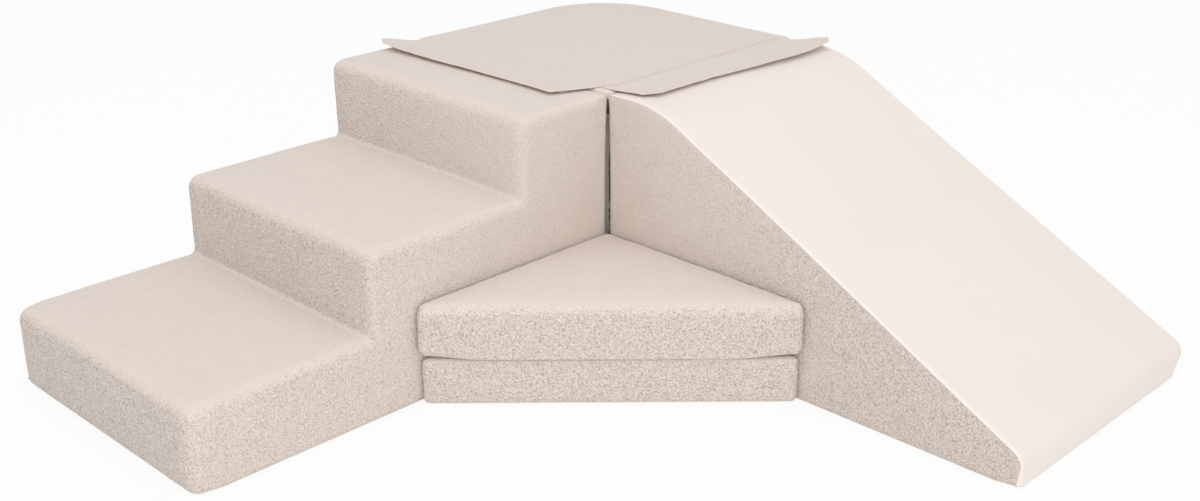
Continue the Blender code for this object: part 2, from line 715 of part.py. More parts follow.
def draped(outline, span, places, crown, curl=0.0, origin=(0.0, 0.0, 0.0)):
    """A thin sheet drawn in U and V, laid over the crown of the module below it.

    places holds the sheet's own mapping, then the mapping to the frame of the crown. The far end
    of the free edge curls up. The mesh is shifted by the origin, which its object then takes.
    """
    sharp = [0.0] * len(outline)
    depth = FLAP_SEW_INSET + FLAP_REACH
    strip_start = FLAP_SEW_INSET + STRIP_SETBACK
    along = [STRIP_END_INSET] + quarters(MODULE_WIDTH) + [FLAP_CURL_START_SHARE * MODULE_WIDTH]
    cuts = along, [FLAP_SEW_INSET, strip_start, strip_start + STRIP_WIDTH / 2], []

    def shape(u, v, z):
        far = (u / MODULE_WIDTH - FLAP_CURL_START_SHARE) / (1 - FLAP_CURL_START_SHARE)
        lift = curl * np.clip(far, 0, 1) ** 2 * np.clip(v / depth, 0, 1)
        x, y = places[0](u, v)
        return x - origin[0], y - origin[1], z + crown(*places[1](u, v)) + lift - origin[2]

    return shaped(rounded_prism(outline, sharp, span, (sharp, sharp)), cuts, shape)


def add_flap(corner, module, name, over, on, crown):
    """One flap with its sewn strip, its hook strip, and the loop strip that it meets."""
    far = MODULE_WIDTH - FLAP_FAR_INSET
    depth = FLAP_SEW_INSET + FLAP_REACH
    outline = [(FLAP_NEAR_INSET, 0.0), (far, 0.0), (far + FLAP_FAR_FLARE, depth)]
    outline.append((FLAP_NEAR_INSET + FLAP_NEAR_MITRE, depth))
    span = (FLAP_LEVEL, FLAP_LEVEL + FLAP_THICKNESS)
    hinge = (*over((FLAP_NEAR_INSET + far) / 2, 0.0), FLAP_LEVEL + FLAP_THICKNESS)
    cloth = draped(outline, span, (over, on), crown, FLAP_CURL, hinge)
    corner.add(name, cloth, "smooth_cloth", hinge)
    near_end, far_end = STRIP_END_INSET, MODULE_WIDTH - STRIP_END_INSET
    start = FLAP_SEW_INSET + STRIP_SETBACK
    strip = [(near_end, start), (far_end, start)]
    strip += [(far_end, start + STRIP_WIDTH), (near_end, start + STRIP_WIDTH)]
    loop_span = (HEIGHT + TOUCH_GAP, HEIGHT + TOUCH_GAP + STRIP_THICKNESS)
    hook_span = (loop_span[1] + TOUCH_GAP, loop_span[1] + TOUCH_GAP + STRIP_THICKNESS)
    hook = draped(strip, hook_span, (over, on), crown, 0.0, hinge)
    corner.add(name + "_hook_strip", hook, "strip_nylon", hinge)
    module.add(name + "_loop_strip", draped(strip, loop_span, (on, on), crown), "strip_nylon")
    sewn = [(FLAP_NEAR_INSET, -SEWN_STRIP_WIDTH), (far, -SEWN_STRIP_WIDTH)]
    sewn += [(far, -TOUCH_GAP), (FLAP_NEAR_INSET, -TOUCH_GAP)]
    corner.add(name + "_sewn_strip", draped(sewn, span, (over, on), crown), "smooth_cloth")


def build_climber():
    root = bpy.data.objects.new(OBJECT_NAME, None)
    PARTS.objects.link(root)
    root.location = (-MIDDLE_X, -MIDDLE_Y, 0.0)
    add_block(root)
    stairs = add_stairs(root)
    ramp = add_ramp(root)
    upper_level = LOWER_MAT_THICKNESS + TOUCH_GAP
    add_mat(root, "lower_mat", 0.0, LOWER_MAT_THICKNESS, FLOOR_RADIUS)
    add_mat(root, "upper_mat", upper_level, UPPER_MAT_THICKNESS, MAT_RIM_RADIUS, upper=True)
    corner = Module("flaps", root, (0.0, 0.0, 0.0))
    add_flap(corner, stairs, "stairs_flap", over_stairs, on_stairs, stair_crown)
    add_flap(corner, ramp, "ramp_flap", over_ramp, on_ramp, ramp_crown)


clear_scene()
PARTS = new_collection(OBJECT_NAME)
CUTTERS = new_collection("cutters", hidden=True)
build_climber()
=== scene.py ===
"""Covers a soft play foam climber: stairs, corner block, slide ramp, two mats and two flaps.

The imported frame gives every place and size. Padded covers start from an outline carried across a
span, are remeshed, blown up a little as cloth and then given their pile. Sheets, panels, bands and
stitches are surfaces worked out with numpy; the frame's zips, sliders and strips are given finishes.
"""

import math

import bmesh
import bpy
import numpy as np
from bpy.props import FloatProperty, FloatVectorProperty, IntProperty, PointerProperty
from bpy.types import Operator, Panel, PropertyGroup
from mathutils import Euler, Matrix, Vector


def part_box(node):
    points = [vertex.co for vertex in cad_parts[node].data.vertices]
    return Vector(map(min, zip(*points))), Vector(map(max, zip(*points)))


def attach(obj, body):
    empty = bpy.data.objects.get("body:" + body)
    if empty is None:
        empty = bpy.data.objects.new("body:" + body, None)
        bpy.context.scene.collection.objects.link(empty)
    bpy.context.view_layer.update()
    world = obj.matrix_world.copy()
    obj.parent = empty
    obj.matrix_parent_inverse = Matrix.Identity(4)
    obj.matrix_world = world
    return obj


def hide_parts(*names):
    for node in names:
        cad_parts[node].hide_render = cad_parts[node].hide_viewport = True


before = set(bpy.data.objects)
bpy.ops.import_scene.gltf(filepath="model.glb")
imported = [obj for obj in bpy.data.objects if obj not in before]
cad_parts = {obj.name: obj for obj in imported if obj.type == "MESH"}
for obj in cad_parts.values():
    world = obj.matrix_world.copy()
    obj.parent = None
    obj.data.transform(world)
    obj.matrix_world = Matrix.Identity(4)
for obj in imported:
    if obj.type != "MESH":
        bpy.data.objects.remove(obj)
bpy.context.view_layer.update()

bl_info = {
    "name": "Soft Play Foam Climber",
    "version": (1, 0, 0),
    "blender": (4, 5, 0),
    "location": "View3D > Sidebar > Climber",
    "description": "Covers a foam climber in boucle cloth, smooth cloth and leatherette",
    "category": "Add Mesh",
}


def node_box(name):
    low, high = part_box(name)
    return np.array(low), np.array(high)


# Places and sizes read from the frame
STAIRS_LOW, STAIRS_HIGH = node_box("stairs_cover")
RAMP_LOW, RAMP_HIGH = node_box("ramp_cover")
SLIDE_HIGH = node_box("ramp_slide_panel")[1]
BLOCK_LOW, BLOCK_HIGH = node_box("block_cover")
SLAB_BOXES = {level: node_box(f"stairs_foam_{level}_slab") for level in ("lower", "middle", "upper")}
MAT_BOXES = {name: node_box(name + "_cover") for name in ("lower_mat", "upper_mat")}
STAIRS_WIDTH = STAIRS_HIGH[0] - STAIRS_LOW[0]
RAMP_WIDTH = RAMP_HIGH[1] - RAMP_LOW[1]
RAMP_LENGTH = SLIDE_HIGH[0] - RAMP_LOW[0]
BLOCK_WIDTH = BLOCK_HIGH[0] - BLOCK_LOW[0]

# Sizes of the covers that the frame doesn't state, in metres
COVER_WALL = 0.0035
HEM_LIFT = 0.0005
STEP_HEIGHT = 0.15
STEP_COUNT = 3
MODULE_HEIGHT = 0.45
RAMP_LANDING = 0.115
TOE_HEIGHT = 0.058
NOSE_RADIUS = 0.024
SIDE_RADIUS = 0.020
CREASE_RADIUS = 0.009
FLOOR_RADIUS = 0.010
FRONT_FLOOR_RADIUS = 0.020
FRONT_SIDE_RADIUS = 0.028
OUTER_FRONT_RADIUS = 0.030
JOIN_RADIUS = 0.008
GAP_TOP_RADIUS = 0.0015
GAP_FLOOR_RADIUS = 0.0070
INNER_CORNER_RADIUS = 0.024
INNER_CORNER_DRAW = 0.030
BACK_CORNER_RADIUS = 0.180
BACK_CORNER_STEPS = 30
TOE_CORNER_RADIUS = 0.034
SHOULDER_RADIUS = 0.280
TOE_RADIUS = 0.028
SLIDE_RIM = 0.006
MAT_TIP_RADIUS = 0.010
MAT_BACK_RADIUS = 0.009
MAT_PARTING_RADIUS = 0.006
MAT_TIP_PARTING = {"lower_mat": 0.011, "upper_mat": 0.018}
MAT_RIM = 0.024
MAT_LEG = {"lower_mat": 0.470, "upper_mat": 0.4766}
MAT_THICKNESS = {"lower_mat": 0.085, "upper_mat": 0.100}
MAT_LEVEL = {"lower_mat": 0.0, "upper_mat": 0.0853}
TOP_LEVEL = 0.453
TREAD_CROWN = 0.004
BLOCK_CROWN = 0.006
SLIDE_CROWN = 0.002
MAT_CROWN = 0.006
MAT_TIP_LIFT = 0.006
SIDE_DRAW = 0.004
STRAIGHT_BAND = 0.055
SLIDE_SEAM_ANGLE = math.radians(58)
TOP_SEAM = 0.014
PANEL_THICKNESS = 0.0022
PANEL_PROUD = 0.0006
GROUND_SINK = 0.0026
ARC_STEPS = 6
RAMP_ARC_STEPS = 16
SNAP_REACH = 0.008


def smooth_step(share):
    """Zero below 0, one above 1, and three shares squared less two cubed between."""
    inside = np.clip(share, 0.0, 1.0)
    return inside * inside * (3.0 - 2.0 * inside)


def swell(share):
    """Zero at both ends of a run and one in its middle: four times the share and its rest."""
    inside = np.clip(share, 0.0, 1.0)
    return 4.0 * inside * (1.0 - inside)


def upright_share(normals):
    """Zero on faces that look up or down and one on upright ones."""
    return smooth_step((0.95 - np.abs(normals[:, 2])) / 0.5)


def facing_share(cosine):
    """Zero up to a cosine of 0.3 between a face and a direction, and one from 0.8."""
    return smooth_step((cosine - 0.3) / 0.5)


def unit(vectors):
    length = np.linalg.norm(vectors, axis=-1, keepdims=True)
    return vectors / np.maximum(length, 1e-12)


# Noise for waves in edges and for pile
def lattice_values(cells, seed):
    """A repeatable value from 0 to 1 for each whole-numbered cell, from a scrambled product."""
    whole = cells.astype(np.int64)
    mixed = whole[..., 0] * 73856093 ^ whole[..., 1] * 19349663 ^ whole[..., 2] * 83492791
    mixed = (mixed ^ seed * 2654435761) & 0xFFFFFFFF
    mixed = (mixed ^ (mixed >> 15)) * 2246822519 & 0xFFFFFFFF
    mixed = (mixed ^ (mixed >> 13)) * 3266489917 & 0xFFFFFFFF
    return ((mixed ^ (mixed >> 16)) & 0xFFFFFF) / float(0xFFFFFF)


def soft_noise(points, size, seed):
    """Values from -1 to 1 that change softly over about one size.

    Each point mixes the values at the eight corners of its cell, by smooth shares of its place.
    """
    scaled = points / size
    base = np.floor(scaled)
    share = smooth_step(scaled - base)
    total = np.zeros(len(points))
    for corner in np.ndindex(2, 2, 2):
        side = np.array(corner)
        weight = np.prod(np.where(side, share, 1.0 - share), axis=1)
        total += weight * lattice_values(base + side, seed)
    return 2.0 * total - 1.0


def curl_field(points, size, seed):
    """Round lumps, one to a cell: one at a lump's middle and zero past its reach.

    Each cell holds one middle at a scattered place. A point's height falls with the square of its
    distance to the nearest middle.
    """
    scaled = points / size
    base = np.floor(scaled)
    nearest = np.full(len(points), np.inf)
    for step in np.ndindex(3, 3, 3):
        cell = base + np.array(step) - 1.0
        shifts = [lattice_values(cell, seed + axis) for axis in range(3)]
        middle = cell + np.stack(shifts, axis=1)
        nearest = np.minimum(nearest, np.sum((scaled - middle) ** 2, axis=1))
    return np.clip(1.0 - nearest, 0.0, 1.0)


# Outlines
def rounded_outline(corners, radii, steps):
    """A closed outline with an arc at each corner.

    An arc starts and ends one tangent length from its corner, the radius times the tangent of
    half the turn, and its points lie on the circle between, at even angles.
    """
    corners = np.array(corners, float)
    points = []
    for index, corner in enumerate(corners):
        into = unit(corner - corners[index - 1])
        out = unit(corners[(index + 1) % len(corners)] - corner)
        turn = math.atan2(into[0] * out[1] - into[1] * out[0], into @ out)
        radius = radii[index]
        reach = radius * math.tan(abs(turn) / 2)
        side = np.array([-into[1], into[0]]) * math.copysign(1.0, turn)
        middle = corner - into * reach + side * radius
        angles = np.linspace(0.0, turn, steps + 1)[:, None]
        points.append(middle - radius * (side * np.cos(angles) - into * np.sin(np.abs(angles))))
    return np.concatenate(points)


def outline_normals(loop):
    """The way in at each point of an anticlockwise outline: left of the mean of its two sides."""
    into = unit(loop - np.roll(loop, 1, axis=0))
    out = unit(np.roll(loop, -1, axis=0) - loop)
    along = unit(into + out)
    return np.stack([-along[:, 1], along[:, 0]], axis=1)


def outline_depth(points, loop):
    """For each point: its nearest place on an outline, the way in there, its depth and the side.

    The nearest place on a side is its start plus a share of it, held between 0 and 1. The way in
    is mixed between the two ends of the side by that share.
    """
    normals = outline_normals(loop)
    best = np.full(len(points), np.inf)
    foot = np.zeros_like(points)
    way = np.zeros_like(points)
    nearest_side = np.zeros(len(points), int)
    for index, start in enumerate(loop):
        after = (index + 1) % len(loop)
        side = loop[after] - start
        share = np.clip((points - start) @ side / max(side @ side, 1e-18), 0.0, 1.0)[:, None]
        near = start + share * side
        distance = np.sum((points - near) ** 2, axis=1)
        closer = distance < best
        best[closer] = distance[closer]
        foot[closer] = near[closer]
        way[closer] = (normals[index] * (1 - share) + normals[after] * share)[closer]
        nearest_side[closer] = index
    way = unit(way)
    return foot, way, np.sum((points - foot) * way, axis=1), nearest_side


def moved_away(inward, down, radius, measure):
    """Both depths moved straight away from a centre that lies one radius below both faces.

    measure gives the length by which the two distances to the centre are shared out: their larger
    one lands the point on the sharp corner's faces, their straight length on the arc.
    """
    across, under = radius - inward, radius - down
    length = np.maximum(measure(across, under), 1e-12)
    in_rim = (across > 0) & (under > 0)
    new_inward = np.where(in_rim, radius - radius * across / length, np.where(across > 0, 0.0, inward))
    new_down = np.where(in_rim, radius - radius * under / length, np.where(under > 0, 0.0, down))
    return new_inward, new_down


def round_over(inward, down, radius):
    """Turns the edge between two faces into an arc, from points that lie near either face.

    inward and down are the depths below the two faces. Points within the snapping reach first
    land on the sharp edge's faces, and those within the radius then land on the arc.
    """
    reach = np.maximum(radius, SNAP_REACH)
    inward, down = moved_away(inward, down, reach, np.maximum)
    return moved_away(inward, down, radius, np.hypot)


class Axes:
    """A module's own axes: where its corner stands and which way its two plan axes and span run."""

    def __init__(self, origin, first, second, span):
        self.origin = np.array(origin, float)
        self.rows = np.array([first, second, span], float)

    def local(self, points):
        return (points - self.origin) @ self.rows.T

    def world(self, points):
        return self.origin + points @ self.rows


class PaddedForm:
    """A foam block's outer form: an outline carried across a span, with rounded rims.

    rim gives the rim's radius at places on the outline, for the low and the high end. shape moves
    finished points, in the module's own axes, by its crowns and drawn-in sides.
    """

    def __init__(self, axes, corners, radii, span, rim, shape, steps=ARC_STEPS):
        self.axes = axes
        self.loop = rounded_outline(corners, radii, steps)
        self.span = span
        self.rim = rim
        self.shape = shape

    def snapped(self, points):
        """Points near the sharp form, moved onto the rounded one, and where each of them lies."""
        foot, way, depth, side = outline_depth(points[:, :2], self.loop)
        low, high = self.span
        at_high = points[:, 2] > (low + high) / 2
        down = np.where(at_high, high - points[:, 2], points[:, 2] - low)
        radius = self.rim(foot, at_high)
        inward, down = round_over(depth, down, radius)
        deep = depth > np.maximum(radius, SNAP_REACH)
        plan = np.where(deep[:, None], points[:, :2], foot + way * inward[:, None])
        level = np.where(at_high, high - down, low + down)
        return np.column_stack([plan, level]), inward, down, side, foot

    def prism(self):
        """The sharp form as a mesh: the outline at both ends of the span, joined by its sides."""
        count = len(self.loop)
        ends = [np.column_stack([self.loop, np.full(count, level)]) for level in self.span]
        points = self.axes.world(np.concatenate(ends))
        ring = np.arange(count)
        after = np.roll(ring, -1)
        sides = np.column_stack([ring, after, after + count, ring + count])
        faces = [list(ring[::-1]), list(ring + count)] + sides.tolist()
        return mesh_from(points, faces)


def mesh_from(points, faces, name="surface"):
    """A mesh of these points and faces, with its faces turned outwards."""
    mesh = bpy.data.meshes.new(name)
    mesh.from_pydata(np.asarray(points).tolist(), [], [list(face) for face in faces])
    build = bmesh.new()
    build.from_mesh(mesh)
    bmesh.ops.recalc_face_normals(build, faces=build.faces[:])
    build.to_mesh(mesh)
    build.free()
    return mesh


def place_object(mesh, name):
    made = bpy.data.objects.new(name, mesh)
    bpy.context.scene.collection.objects.link(made)
    return made


def applied(mesh, *modifiers):
    """The mesh after a list of modifiers, each a type with its settings."""
    holder = place_object(mesh, "holder")
    for kind, settings in modifiers:
        modifier = holder.modifiers.new(kind.lower(), kind)
        for key, value in settings.items():
            setattr(modifier, key, value)
    graph = bpy.context.evaluated_depsgraph_get()
    graph.update()
    done = bpy.data.meshes.new_from_object(holder.evaluated_get(graph))
    bpy.data.objects.remove(holder, do_unlink=True)
    return done


def read_points(mesh):
    points = np.empty(len(mesh.vertices) * 3, np.float32)
    mesh.vertices.foreach_get("co", points)
    return points.reshape(-1, 3).astype(float)


def write_points(mesh, points):
    mesh.vertices.foreach_set("co", points.astype(np.float32).ravel())
    mesh.update()


def read_normals(mesh):
    normals = np.empty(len(mesh.vertices) * 3, np.float32)
    mesh.vertex_normals.foreach_get("vector", normals)
    return normals.reshape(-1, 3).astype(float)


def write_attribute(mesh, name, values):
    attribute = mesh.attributes.new(name, "FLOAT", "POINT")
    attribute.data.foreach_set("value", np.asarray(values, np.float32))


# Cloth
CLOTH_FRAMES = 20
CLOTH_QUALITY = 4
CLOTH_PRESSURE = 4.0
HELD_LEVELS = 10
CLOTH_SINK = 0.0004
SMOOTHING_ROUNDS = 6


def evened_out(mesh, values):
    """A value at each point, mixed half and half with the mean of its neighbours, a few times."""
    edges = np.empty(len(mesh.edges) * 2, np.int32)
    mesh.edges.foreach_get("vertices", edges)
    first, second = edges.reshape(-1, 2).T
    count = len(values)
    ends, others = np.concatenate([first, second]), np.concatenate([second, first])
    neighbours = np.maximum(np.bincount(ends, minlength=count), 1)
    for _ in range(SMOOTHING_ROUNDS):
        around = np.bincount(ends, weights=values[others], minlength=count) / neighbours
        values = (values + around) / 2
    return values


def blown_up(mesh, slack, cap):
    """How far each point of a remeshed form moves when its cloth is put under pressure.

    slack is 1 where the cloth is free and 0 where it is held. Only the part of a move along the
    point's normal is kept. It is held between a small sink and the cap, and evened out.
    """
    start = read_points(mesh)
    normals = read_normals(mesh)
    holder = place_object(mesh.copy(), "blown_up")
    held = holder.vertex_groups.new(name="held")
    for level in range(1, HELD_LEVELS + 1):
        chosen = np.flatnonzero(np.rint((1.0 - slack) * HELD_LEVELS) == level)
        if len(chosen):
            held.add(chosen.tolist(), level / HELD_LEVELS, "REPLACE")
    cloth = holder.modifiers.new("cloth", "CLOTH")
    cloth.settings.quality = CLOTH_QUALITY
    cloth.settings.use_pressure = True
    cloth.settings.uniform_pressure_force = CLOTH_PRESSURE
    cloth.settings.vertex_group_mass = "held"
    cloth.settings.effector_weights.gravity = 0.0
    cloth.point_cache.frame_start = 1
    cloth.point_cache.frame_end = CLOTH_FRAMES
    scene = bpy.context.scene
    for step in range(1, CLOTH_FRAMES + 1):
        scene.frame_set(step)
    graph = bpy.context.evaluated_depsgraph_get()
    done = bpy.data.meshes.new_from_object(holder.evaluated_get(graph))
    push = read_points(done) - start
    bpy.data.objects.remove(holder, do_unlink=True)
    scene.frame_set(1)
    along = np.clip(np.sum(push * normals, axis=1), -CLOTH_SINK, cap)
    return normals * evened_out(mesh, along * slack)[:, None]


def padded_mesh(form, voxel, slack, cap, levels):
    """A form remeshed, blown up as cloth, subdivided, and set back on its rounded outline.

    slack is a function of local places. The cloth's push rides along as an attribute, so that the
    subdivision carries it to the new points. Returns the mesh, its snapped points, their push,
    and where each lies: its depths below the two faces, its side and its foot on the outline.
    """
    coarse = applied(form.prism(), ("REMESH", {"mode": "VOXEL", "voxel_size": voxel}))
    local = form.axes.local(read_points(coarse))
    write_points(coarse, form.axes.world(form.snapped(local)[0]))
    local = form.axes.local(read_points(coarse))
    push = np.zeros_like(local)
    if cap > 0:
        push = blown_up(coarse, slack(local), cap)
    for axis in range(3):
        write_attribute(coarse, f"push_{axis}", push[:, axis])
    fine = coarse
    if levels:
        fine = applied(coarse, ("SUBSURF", {"levels": levels, "render_levels": levels}))
    push = np.empty((len(fine.vertices), 3), np.float32)
    for axis in range(3):
        values = np.empty(len(push), np.float32)
        attribute = fine.attributes[f"push_{axis}"]
        attribute.data.foreach_get("value", values)
        push[:, axis] = values
        fine.attributes.remove(attribute)
    snapped, *place = form.snapped(form.axes.local(read_points(fine)))
    return fine, snapped, push.astype(float), place


def finish_form(mesh, form, snapped, push, pile):
    """Gives snapped points their crowns, the cloth's push and the pile, and writes them."""
    shaped = form.shape(snapped)
    write_points(mesh, form.axes.world(shaped) + push)
    normals = read_normals(mesh)
    points = read_points(mesh)
    write_points(mesh, points + normals * pile(points, normals, snapped)[:, None])
    mesh.shade_smooth()
    return mesh


# Pile: the shares of its height, the sizes of its clumps and waves, and its seeds
LEVEL_PILE_SHARE = 0.25
CURL_MEAN = 0.45
CLUMP_STRENGTH = 0.35
CLUMP_CURLS = 3.5
WAVE_SIZE = 0.06
WAVE_HEIGHT = 0.0006
CURL_SEED, CLUMP_SEED, WAVE_SEED = 11, 23, 37


def boucle_height(points, upright, free, share):
    """Pile of a looped cloth: big clumps and small curls, strong on upright faces.

    The height is zero where the cloth lies against a neighbour, and mostly outward elsewhere.
    """
    pile = bpy.context.scene.climber_cloth
    curls = curl_field(points, pile.curl_size, CURL_SEED)
    clumps = soft_noise(points, CLUMP_CURLS * pile.curl_size, CLUMP_SEED)
    waves = soft_noise(points, WAVE_SIZE, WAVE_SEED)
    strength = share * pile.pile_height * (LEVEL_PILE_SHARE + (1 - LEVEL_PILE_SHARE) * upright)
    return free * (strength * (curls - CURL_MEAN + CLUMP_STRENGTH * clumps) + WAVE_HEIGHT * waves)


# Painted light and shade on the cloth, and how it and the nap change away from the inner corner
CORNER_REACH = 0.05
CORNER_FADE = 0.60
NAP_AT_CORNER = 0.25
NAP_GAIN = 0.70
SQUARE_NAP_LOSS = 0.25
# Painted light on the mats' upright faces, and painted shade by the way faces look and by nearness to the
# inner corner
MAT_UPRIGHT_PAINTED_LIGHT = 1.075
LEVEL_PAINTED_SHADING = 0.998
SIDE_PAINTED_SHADING, SIDE_PAINTED_SHADING_GAIN = 0.958, 0.070
FRONT_PAINTED_SHADE, FRONT_PAINTED_SHADE_GAIN = 0.942, 0.042
# Painted shadow in the hollow round the block's hidden inner edge: its reach, its top and its darkest share
HOLLOW_REACH = 0.020
HOLLOW_TOP = 0.44
HOLLOW_PAINTED_SHADE = 0.25


def from_corner(points):
    """Zero at the inner corner and one from about 65 cm away from it."""
    distance = np.hypot(points[:, 0] - BLOCK_HIGH[0], points[:, 1] - BLOCK_LOW[1])
    return smooth_step((distance - CORNER_REACH) / CORNER_FADE)


def nap_share(points, normals, deep):
    """How strongly the loops show, in their bump and in the painted shade of their pits: fully on the
    mats, and more towards the front elsewhere.

    Faces that look along +X show them less, because the light falls on them more squarely.
    """
    if deep:
        return np.ones(len(points))
    squarely = facing_share(normals[:, 0])
    return (NAP_AT_CORNER + NAP_GAIN * from_corner(points)) * (1 - SQUARE_NAP_LOSS * squarely)


def painted_cloth_shading(points, normals, body, deep):
    """Painted shade and light: darker on faces that look along -Y, and towards the inner corner.

    The block's cloth gets a painted shadow round its upright edge there, and that falls off evenly.
    The mats' upright faces are painted lighter.
    """
    upright = upright_share(normals)
    if deep:
        # Painted light: the mats' upright faces are made lighter
        return 1 + (MAT_UPRIGHT_PAINTED_LIGHT - 1) * upright
    # Painted shade: darker on faces that look along -Y and towards the inner corner
    to_front = facing_share(-normals[:, 1])
    away = from_corner(points)
    side, front = SIDE_PAINTED_SHADING + SIDE_PAINTED_SHADING_GAIN * away, FRONT_PAINTED_SHADE + FRONT_PAINTED_SHADE_GAIN * away
    painted_shading = LEVEL_PAINTED_SHADING * (1 - upright) + (side * (1 - to_front) + front * to_front) * upright
    # Painted shadow: the block's cloth is darkened round its hidden inner edge, below the top, in the
    # hollow behind the gap
    if body == "corner_block":
        inner = BLOCK_HIGH[0] - INNER_CORNER_DRAW / 2, BLOCK_LOW[1] + INNER_CORNER_DRAW / 2
        distance = np.hypot(points[:, 0] - inner[0], points[:, 1] - inner[1])
        near = 1 - smooth_step((distance - HOLLOW_REACH) / HOLLOW_REACH)
        painted_shading = painted_shading + (HOLLOW_PAINTED_SHADE - painted_shading) * near * (points[:, 2] < HOLLOW_TOP)
    return painted_shading


# Surfaces on a grid
def grid_faces(rows, columns, closed=False):
    """Four-cornered faces of a grid, row after row, joined round when it is closed."""
    across = columns if closed else columns - 1
    row, column = np.meshgrid(np.arange(rows - 1), np.arange(across), indexing="ij")
    after = (column + 1) % columns
    corners = [row * columns + column, row * columns + after]
    corners += [(row + 1) * columns + after, (row + 1) * columns + column]
    return np.stack(corners, axis=-1).reshape(-1, 4)


def closed_sheet(top, bottom):
    """A closed mesh of two matching grids: one above, one below, and a strip round the edge."""
    rows, columns = top.shape[:2]
    count = rows * columns
    upper = grid_faces(rows, columns)
    lower = upper[:, ::-1] + count
    index = np.arange(count).reshape(rows, columns)
    edge = [index[0, :-1], index[:-1, -1], index[-1, :0:-1], index[:0:-1, 0]]
    ring = np.concatenate(edge)
    after = np.roll(ring, -1)
    rim = np.column_stack([after, ring, ring + count, after + count])
    points = np.concatenate([top.reshape(-1, 3), bottom.reshape(-1, 3)])
    mesh = mesh_from(points, np.concatenate([upper, lower, rim]))
    mesh.shade_smooth()
    mesh.set_sharp_from_angle(angle=math.radians(50))
    return mesh


def even_places(points, spacing):
    """Places along a path at an even spacing: the path's own points joined by straight steps.

    The first two columns are the place, and any others are mixed along with it.
    """
    steps = np.linalg.norm(np.diff(points[:, :2], axis=0), axis=1)
    length = np.concatenate([[0.0], np.cumsum(steps)])
    count = int(math.ceil(length[-1] / spacing)) + 1
    at = np.linspace(0.0, length[-1], count)
    return np.stack([np.interp(at, length, points[:, axis]) for axis in range(points.shape[1])], axis=1)


# Stitches
STITCH_SIDES = 5


def stitches(starts, ends, lifts, thickness):
    """A short bowed thread for each start and end: rings round a bowed line, closed at both ends.

    The line's height is a half sine, and the rings shrink towards the ends the same way.
    """
    share = np.array([0.0, 0.16, 0.5, 0.84, 1.0])
    girth = thickness / 2 * np.array([0.25, 0.9, 1.0, 0.9, 0.25])
    along = ends - starts
    side = unit(np.cross(along, lifts))
    line = starts[:, None] + along[:, None] * share[:, None]
    line = line + lifts[:, None] * (thickness * 0.6 * np.sin(np.pi * share))[:, None]
    angle = np.arange(STITCH_SIDES) * (2 * math.pi / STITCH_SIDES)
    round_x = np.cos(angle)[:, None] * side[:, None, None]
    round_y = np.sin(angle)[:, None] * unit(lifts)[:, None, None]
    rings = line[:, :, None] + girth[:, None, None] * (round_x + round_y)
    count = len(starts)
    per = len(share) * STITCH_SIDES
    body = grid_faces(len(share), STITCH_SIDES, closed=True)
    faces = (body[None] + np.arange(count)[:, None, None] * per).reshape(-1, 4).tolist()
    first = np.arange(STITCH_SIDES)[::-1]
    last = np.arange(STITCH_SIDES) + per - STITCH_SIDES
    for caps in (first, last):
        faces += (caps[None] + np.arange(count)[:, None] * per).tolist()
    mesh = mesh_from(rings.reshape(-1, 3), faces)
    mesh.shade_smooth()
    return mesh


